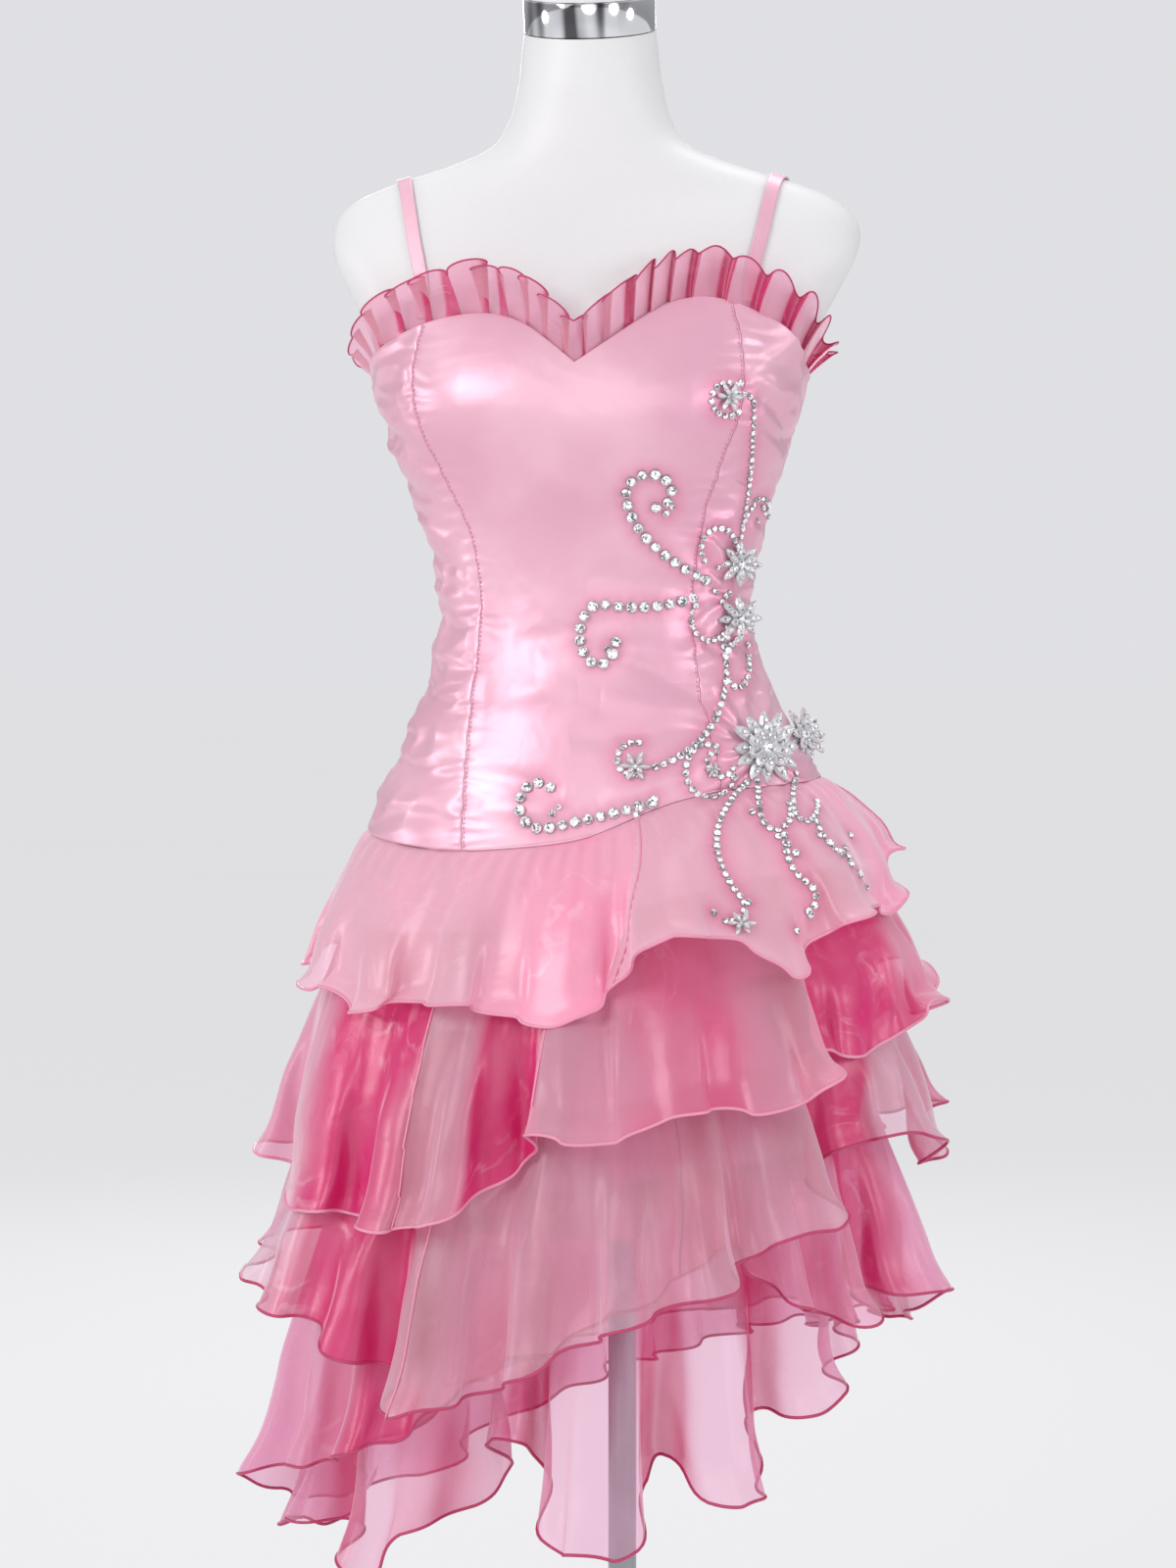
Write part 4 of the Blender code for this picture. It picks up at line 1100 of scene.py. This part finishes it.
def strap(node, rows, skin):
    stitched = [[], []]

    def at(along, wide):
        turn = rows[0][0] + (rows[-1][0] - rows[0][0]) * along
        across = smooth_row(rows, turn) * MM + (wide - 0.5) * 2 * STRAP_HALF_WIDTH
        start = Vector((across, STRAP_CENTRE.y, STRAP_CENTRE.z))
        out = Vector((0, -math.cos(math.radians(turn)), math.sin(math.radians(turn))))
        hit, normal, _, _ = skin.ray_cast(start, out)
        return hit + (out + normal * 2).normalized() * STRAP_EASE

    piece = cloth("satin_" + node, 120, 8, at, SATIN, STRAP_WALL)
    declare_cut(piece, at)
    settle(piece, "satin", node)
    for side, wide in enumerate((0.14, 0.86)):
        for step in range(100):
            stitched[side].append((at(step / 100, wide), at((step + 0.6) / 100, wide)))
    return stitched


def stitches(name, pairs, radius=0.45 * MM, lift=0.9 * MM):
    """Short threads lying on the cloth, one for each pair of ends."""
    shape = bmesh.new()
    for start, end in pairs:
        middle = (start + end) / 2
        away = Vector((middle.x, middle.y, 0)).normalized()
        run = end - start
        where = Matrix.Translation(middle + away * lift) @ run.to_track_quat("Z", "Y").to_matrix().to_4x4()
        bmesh.ops.create_cone(shape, cap_ends=True, segments=5, radius1=radius, radius2=radius,
                              depth=run.length, matrix=where)
    settle(finish_mesh(name, shape, [THREAD]), "satin")


def seam_stitches():
    for name, sign in (("princess_stitches_left", -1), ("princess_stitches_right", 1)):
        pairs = []
        height = waist_height(sign * 42) + 2 * MM
        top = neck_height(sign * 50) - 3 * MM
        while height < top:
            after = height + 1.9 * MM
            angle = sign * (princess_angle(height) - 0.9)
            pairs.append((bodice_point(angle, height), bodice_point(angle, after)))
            height += 3.4 * MM
        stitches(name, pairs, lift=0.8 * MM)
    turns = [step * 360 / CORD_STEPS for step in range(CORD_STEPS)]
    seam = [bodice_point(angle, waist_height(angle) + SEAM_GAP) for angle in turns]
    settle(edge_roll("waist_seam_cord", seam, 1.0 * MM, SATIN), "satin")


def ruffle_fold(angle):
    """Turns of the ruffle's folds passed at an angle, unevenly spaced, and how tall it is there."""
    ring = Vector((math.cos(math.radians(angle)), math.sin(math.radians(angle)), 0))
    uneven = noise.noise(ring * 5 + Vector((0, 0, 3)))
    tall = noise.noise(ring * 11 + Vector((0, 0, 8)))
    return math.radians(angle) * RUFFLE_GATHERS + 3.8 * uneven, tall


def ruffle_point(angle, up):
    toward_side = min(abs(turn_apart(angle, 0)) / 90, 1)
    near_dip = math.exp(-(turn_apart(angle, DIP_ANGLE) / 14) ** 2)
    rise = RUFFLE_RISE * (1 - 0.35 * toward_side ** 3 - 0.2 * near_dip)
    lean = RUFFLE_LEAN * (0.5 + 0.9 * toward_side ** 3) * (1 - 0.4 * near_dip)
    fold, tall = ruffle_fold(angle)
    overlap = RUFFLE_OVERLAP * (1 + 0.7 * tall) * (0.72 + 0.28 * up)
    shift = overlap * 360 / RUFFLE_GATHERS * math.sin(fold)
    foot = neck_height(angle + shift) + RUFFLE_FOOT_GAP
    height = foot + rise * up * (1 + 0.14 * tall) + math.cos(fold - 0.6) * 2.6 * MM * up
    swing = math.sin(fold - 0.25) * (1 + 0.4 * tall) * RUFFLE_WAVE * (0.2 + 0.8 * up ** 0.8)
    out = BODY_EASE + lean * up ** 1.3 - swing
    return around(angle + shift, skin_reach(angle, foot) + out, height, middle_across(foot))


def ruffle_painted_shade(across, up):
    """Deep colour where the folds overlap, part layered sheer cloth and part painted shade, and painted
    shade along the gathered foot.
    """
    fold, tall = ruffle_fold(across * 360 - 180)
    overlap = ease_step(-0.45, 0.3, -math.cos(fold + 0.6))
    return min(max(0.05 + 1.2 * overlap + 0.25 * math.exp(-up * 5) + 0.3 * tall, 0), 1)


def ruffle():
    def place(across, up):
        return ruffle_point(across * 360 - 180, up)

    piece = cloth("gathered_ruffle", RUFFLE_COLUMNS, 14, place, RUFFLE_FINISH, closed=True,
                  depth=ruffle_painted_shade)
    edge = edge_roll("ruffle_rolled_edge",
                     [place(step / RUFFLE_COLUMNS, 1) for step in range(RUFFLE_COLUMNS)],
                     0.7 * MM, DEEP_ROLL)
    settle(piece, "organza", *["neck_ruffle_" + side for side in SIDES])
    settle(edge, "organza")
    declare_cut(piece, place)


# Skirt

SIDES = ("front_left", "front_right", "back_left", "back_right")


def foundation_skirt():
    def place(across, up):
        angle = across * 360 - 180
        top = waist_height(angle) - 1.2 * MM
        height = FOUNDATION_FOOT + (top - FOUNDATION_FOOT) * up
        return around(angle, foundation_reach(angle, height), height)

    piece = cloth("foundation_skirt", 240, 40, place, FOUNDATION_SATIN, SATIN_WALL, closed=True)
    declare_cut(piece, place)
    settle(piece, "satin", *["foundation_" + side for side in SIDES])


def flounces():
    for index in range(len(FLOUNCE_HEMS)):
        def place(across, up):
            return flounce_point(index, across, 1 - up)

        def depth(across, up):
            return painted_shade_depth(index, across, 1 - up)

        piece = cloth(f"organza_flounce_{index + 1}", FLOUNCE_COLUMNS, FLOUNCE_ROWS, place,
                      FLOUNCE_FINISHES[index], closed=True, depth=depth)
        hem = [flounce_point(index, step / FLOUNCE_COLUMNS, 1) for step in range(FLOUNCE_COLUMNS)]
        roll = edge_roll(f"flounce_{index + 1}_rolled_edge", hem, HEM_ROLL,
                         LIGHT_ROLL if index < 2 else DEEP_ROLL)
        for number, (flounce, at_seam, at_hem, _, _) in enumerate(PANEL_EDGES):
            if flounce == index + 1:
                line = []
                for step in range(EDGE_STEPS + 1):
                    down = step / EDGE_STEPS
                    angle = at_seam + (at_hem - at_seam) * down + EDGE_TURN
                    laid = flounce_point(index, (angle + 180) % 360 / 360, down)
                    line.append(laid + around(angle, HEM_ROLL * 0.5, 0, 0))
                edge = edge_roll(f"panel_edge_{number + 1}", line, HEM_ROLL * 0.6,
                                 LIGHT_ROLL if index < 3 else DEEP_ROLL, closed=False)
                settle(edge, "organza")
        declare_cut(piece, place)
        settle(piece, "organza", *[f"flounce_{index + 1}_{side}" for side in SIDES])
        settle(roll, "organza")


# Stone trim


def view_axes():
    right = Vector((math.cos(VIEW_TURN), math.sin(VIEW_TURN), 0))
    back = Vector((math.sin(VIEW_TURN) * math.cos(VIEW_RISE), -math.cos(VIEW_TURN) * math.cos(VIEW_RISE),
                   math.sin(VIEW_RISE)))
    return right, back.cross(right), back


def met_from(cloths, start, way):
    """Where a straight line meets the cloth, and the cloth's direction on the side it comes from."""
    hit, normal, _, _ = cloths.ray_cast(start, way)
    if hit is None:
        return None
    return hit, (normal if normal.dot(way) < 0 else -normal)


def seen_place(cloths, across, height):
    """Where a place in the front view falls on the cloth, with the cloth's direction there."""
    right, up, back = view_axes()
    eye = VIEW_CENTRE + back * VIEW_DISTANCE
    aim = VIEW_CENTRE + right * (across * MM + FRONT_SHIFT) + up * (height * MM - VIEW_CENTRE.z)
    return met_from(cloths, eye, (aim - eye).normalized())


def scroll_line(row):
    """Points of one scroll in the front view: a bent tail running into a shrinking curl."""
    _, cx, cz, radius, start, sweep, shrink, tail_x, tail_z, bend, _, tallness = row
    first = math.radians(start)
    enter = Vector((cx + radius * math.cos(first), cz + tallness * radius * math.sin(first)))
    tail = Vector((tail_x, tail_z))
    way = Vector((math.sin(first), -math.cos(first))) * (1 if sweep > 0 else -1)
    pull = enter + way * (tail - enter).length * bend
    points = []
    for step in range(30):
        share = step / 30
        points.append(tail * (1 - share) ** 2 + pull * 2 * share * (1 - share) + enter * share * share)
    turns = max(int(abs(sweep) / 6), 1)
    for step in range(turns + 1):
        share = step / turns
        turn = first + math.radians(sweep) * share
        reach = radius * (1 - shrink * share ** 1.4)
        points.append(Vector((cx + reach * math.cos(turn), cz + tallness * reach * math.sin(turn))))
    return points


def spaced(places, pitch):
    """Places and directions at even steps along a line that lies on the cloth."""
    made = [places[0]]
    walked = 0.0
    for before, after in zip(places, places[1:]):
        run = (after[0] - before[0]).length
        while walked + run >= pitch * len(made):
            share = (pitch * len(made) - walked) / run
            made.append((before[0].lerp(after[0], share), before[1].lerp(after[1], share).normalized()))
        walked += run
    return made


def upright_at(place, normal, lift=0.0, turn=0.0):
    return (Matrix.Translation(place + normal * lift) @ normal.to_track_quat("Z", "Y").to_matrix().to_4x4()
            @ Matrix.Rotation(turn, 4, "Z"))


def mark_faces(made, index):
    for corner in made["verts"]:
        for face in corner.link_faces:
            face.material_index = index


def set_stone(shape, where, radius):
    """One cut stone in a cup with four claws."""
    for index, sides, low, high, tall, up in ((1, 12, 1.16, 1.1, 0.5, 0.25), (0, 8, 1.0, 0.56, 0.42, 0.71)):
        made = bmesh.ops.create_cone(shape, cap_ends=True, segments=sides, radius1=radius * low,
                                     radius2=radius * high, depth=radius * tall,
                                     matrix=where @ Matrix.Translation((0, 0, radius * up)))
        mark_faces(made, index)
    if radius > 3 * MM:
        for step in range(4):
            turn = math.pi / 4 + step * math.pi / 2
            claw = bmesh.ops.create_icosphere(
                shape, subdivisions=1, radius=radius * 0.17,
                matrix=where @ Matrix.Translation((radius * math.cos(turn), radius * math.sin(turn),
                                                   radius * 0.6)))
            mark_faces(claw, 1)


def leaf(shape, where, length, width, arch, index):
    """A pointed petal, thickest along its middle, lying along its own X."""
    made = bmesh.ops.create_grid(shape, x_segments=7, y_segments=4, size=0.5)
    for corner in made["verts"]:
        along = corner.co.x + 0.5
        side = corner.co.y * 2
        half = width / 2 * math.sin(math.pi * min(along ** 1.25 * 0.9 + 0.08, 1)) ** 0.6
        corner.co = where @ Vector((along * length, side * half,
                                    arch * math.sin(math.pi * along) + (1 - side * side) * width * 0.16
                                    + (0.8 * MM if abs(side) < 1 else 0)))
    mark_faces(made, index)


def flat_finish(name, shape, slot, *nodes):
    bmesh.ops.recalc_face_normals(shape, faces=shape.faces)
    piece = finish_mesh(name, shape, [STONE, SETTING, PETAL])
    piece.data.shade_flat()
    settle(piece, slot, *nodes)


def shade_round_stones():
    """Marks how near each place of the trimmed cloths is to a stone, for the painted shade that darkens
    their colour there.
    """
    near = KDTree(len(stones_laid))
    for index, place in enumerate(stones_laid):
        near.insert(place, index)
    near.balance()
    for name in TRIMMED_CLOTHS:
        mesh = bpy.data.objects[name].data
        shade = mesh.attributes.new("near_stones", "FLOAT", "POINT")
        for index, corner in enumerate(mesh.vertices):
            away = near.find(corner.co)[2] / STONE_SHADE
            shade.data[index].value = math.exp(-away * away)


def stone_scrolls(cloths):
    for row in SCROLLS:
        name, size = row[0], row[-2]
        places = [seen_place(cloths, *point) for point in scroll_line(row)]
        places = [place for place in places if place]
        shape = bmesh.new()
        radius = size * MM / 2
        for place, normal in spaced(places, size * STONE_PITCH * MM):
            where = upright_at(place, normal, turn=rng.uniform(0, 1))
            set_stone(shape, where, radius * rng.uniform(0.84, 0.96))
            stones_laid.append(place)
        flat_finish(name, shape, "set_stones")
    shape = bmesh.new()
    for across, height, size in STONE_DOTS:
        found = seen_place(cloths, across, height)
        if found:
            set_stone(shape, upright_at(found[0], found[1]), size * MM / 2)
            stones_laid.append(found[0])
    flat_finish("scattered_stones", shape, "set_stones")


def flower(name, place, normal, radius, petals, node, small):
    """A brooch of pointed petals in two rings about a knot of stones."""
    shape = bmesh.new()
    for ring, (count, reach, tilt) in enumerate(((petals, 1.0, 6), (petals - 2, 0.68, 24))):
        for step in range(count):
            turn = 2 * math.pi * (step + 0.5 * ring) / count + rng.uniform(-0.06, 0.06)
            length = radius * reach * rng.uniform(0.86, 1.04)
            where = (upright_at(place, normal, 1.5 * MM + ring * 1.2 * MM) @ Matrix.Rotation(turn, 4, "Z")
                     @ Matrix.Rotation(math.radians(-tilt), 4, "Y")
                     @ Matrix.Translation((radius * 0.12, 0, 0)))
            leaf(shape, where, length, radius * 0.36, radius * 0.10, 2)
            if not small:
                for share in (0.5, 0.72):
                    on_leaf = where @ Matrix.Translation((length * share, 0, radius * 0.18))
                    set_stone(shape, on_leaf, radius * 0.055)
    set_stone(shape, upright_at(place, normal, 4.5 * MM if not small else 2.2 * MM), radius * 0.2)
    for step in range(6):
        turn = step * math.pi / 3
        off = Matrix.Translation((radius * 0.3 * math.cos(turn), radius * 0.3 * math.sin(turn), 0))
        lift = 3.6 * MM if not small else 1.6 * MM
        set_stone(shape, upright_at(place, normal, lift) @ off, radius * 0.12)
    flat_finish(name, shape, "set_stones", *([node] if node else []))


def brooches(cloths):
    for name, angle, height, radius, petals in BROOCHES:
        small = radius < SMALL_FLOWER
        out = outward(angle)
        hit, normal = met_from(cloths, around(angle, 0.4, height * MM), -out)
        towards = normal.lerp(out, 0.4).lerp(Vector((0, -1, 0)), 0 if small else BROOCH_TURN).normalized()
        place = hit if small else hit + out * BROOCH_LIFT
        flower(name + "_stones", place, towards, radius * MM, petals, name, small)
    for index, (across, height, radius) in enumerate(LOOSE_FLOWERS):
        found = seen_place(cloths, across, height)
        if found:
            flower(f"small_flower_{index + 1}", *found, radius * MM, 6, None, True)


# Camera, light and floor

# Lamps: name, place, where it points, size, power in watts, colour
LAMPS = [
    ("key", (-1.7, -2.3, 2.1), (0, 0, 1.0), 1.5, 32, (1.0, 0.985, 0.97)),
    ("left", (-2.6, -0.5, 1.2), (0, 0, 1.0), 0.6, 9, (1.0, 1.0, 1.0)),
    ("right", (2.6, -0.4, 1.3), (0, 0, 1.0), 0.6, 7, (1.0, 1.0, 1.0)),
    ("fill", (2.1, -1.9, 1.4), (0, 0, 0.9), 0.8, 14, (0.97, 0.98, 1.0)),
    ("front", (0.3, -3.3, 1.5), (0, 0, 0.9), 1.6, 9, (1.0, 1.0, 1.0)),
    ("top", (0.2, 0.5, 3.0), (0, 0, 1.0), 1.2, 11, (1.0, 1.0, 1.0)),
    ("back", (-0.6, 3.0, 1.9), (0, 0, 0.8), 1.4, 26, (1.0, 1.0, 1.0)),
]


def camera():
    right, up, back = view_axes()
    data = bpy.data.cameras.new("camera")
    data.lens = VIEW_DISTANCE / METRES_PER_PIXEL / PICTURE_TALL * SENSOR
    data.sensor_width = SENSOR
    eye = bpy.data.objects.new("camera", data)
    turn = Matrix((right, up, back)).transposed().to_4x4()
    eye.matrix_world = Matrix.Translation(VIEW_CENTRE + back * VIEW_DISTANCE) @ turn
    bpy.context.scene.collection.objects.link(eye)
    bpy.context.scene.camera = eye


def lamp(name, place, target, size, power, colour):
    data = bpy.data.lights.new(name, "AREA")
    data.shape = "DISK"
    data.size = size
    data.energy = power
    data.color = colour
    thing = bpy.data.objects.new(name, data)
    thing.location = place
    aim = (Vector(target) - Vector(place)).to_track_quat("-Z", "Y")
    thing.rotation_euler = aim.to_euler()
    thing.visible_camera = False
    bpy.context.scene.collection.objects.link(thing)


def studio():
    made, tree, shader = new_material("pale paper")
    cloudy = clouds(tree, own_place(tree), 0.7)
    dress_shader(tree, shader, {
        "Base Color": mix_colour(tree, cloudy, (0.24, 0.24, 0.245), (0.26, 0.26, 0.265)),
        "Roughness": 0.95, "Specular IOR Level": 0.1, "Emission Color": (1.0, 1.0, 1.02),
        "Emission Strength": 0.56,
    })
    shape = bmesh.new()
    bmesh.ops.create_grid(shape, x_segments=1, y_segments=1, size=40)
    finish_mesh("floor", shape, [made])
    world = bpy.data.worlds.new("soft room")
    world.use_nodes = True
    sky = world.node_tree
    way = add_node(sky, "TexCoord", {}).outputs["Generated"]
    overhead = ramp(sky, add_node(sky, "SeparateXYZ", {0: way}).outputs[2], 0.05, 0.85)
    shade = mix_colour(sky, overhead, (0.32, 0.32, 0.34), (0.80, 0.80, 0.82))
    looked_at = add_node(sky, "LightPath", {}).outputs["Is Camera Ray"]
    seen = mix_colour(sky, looked_at, shade, (0.745, 0.747, 0.775))
    feed(sky, sky.nodes["Background"].inputs["Color"], seen)
    bpy.context.scene.world = world
    for row in LAMPS:
        lamp(*row)
    scene = bpy.context.scene
    scene.view_settings.view_transform = "Standard"
    scene.cycles.transparent_max_bounces = 32


HUNG = hang_flounces()
dress_form()
form_skin = surface_tree([bpy.data.objects["dress_form"]])
neck_fittings()
stand()
bodice()
seam_stitches()
strap_threads = strap("strap_left", STRAP_LEFT, form_skin) + strap("strap_right", STRAP_RIGHT, form_skin)
for index, pairs in enumerate(strap_threads):
    stitches(f"strap_stitches_{index + 1}", pairs, radius=0.25 * MM, lift=0.75 * MM)
ruffle()
foundation_skirt()
flounces()
trimmed = surface_tree([bpy.data.objects[name] for name in TRIMMED_CLOTHS])
stone_scrolls(trimmed)
brooches(trimmed)
shade_round_stones()
camera()
studio()
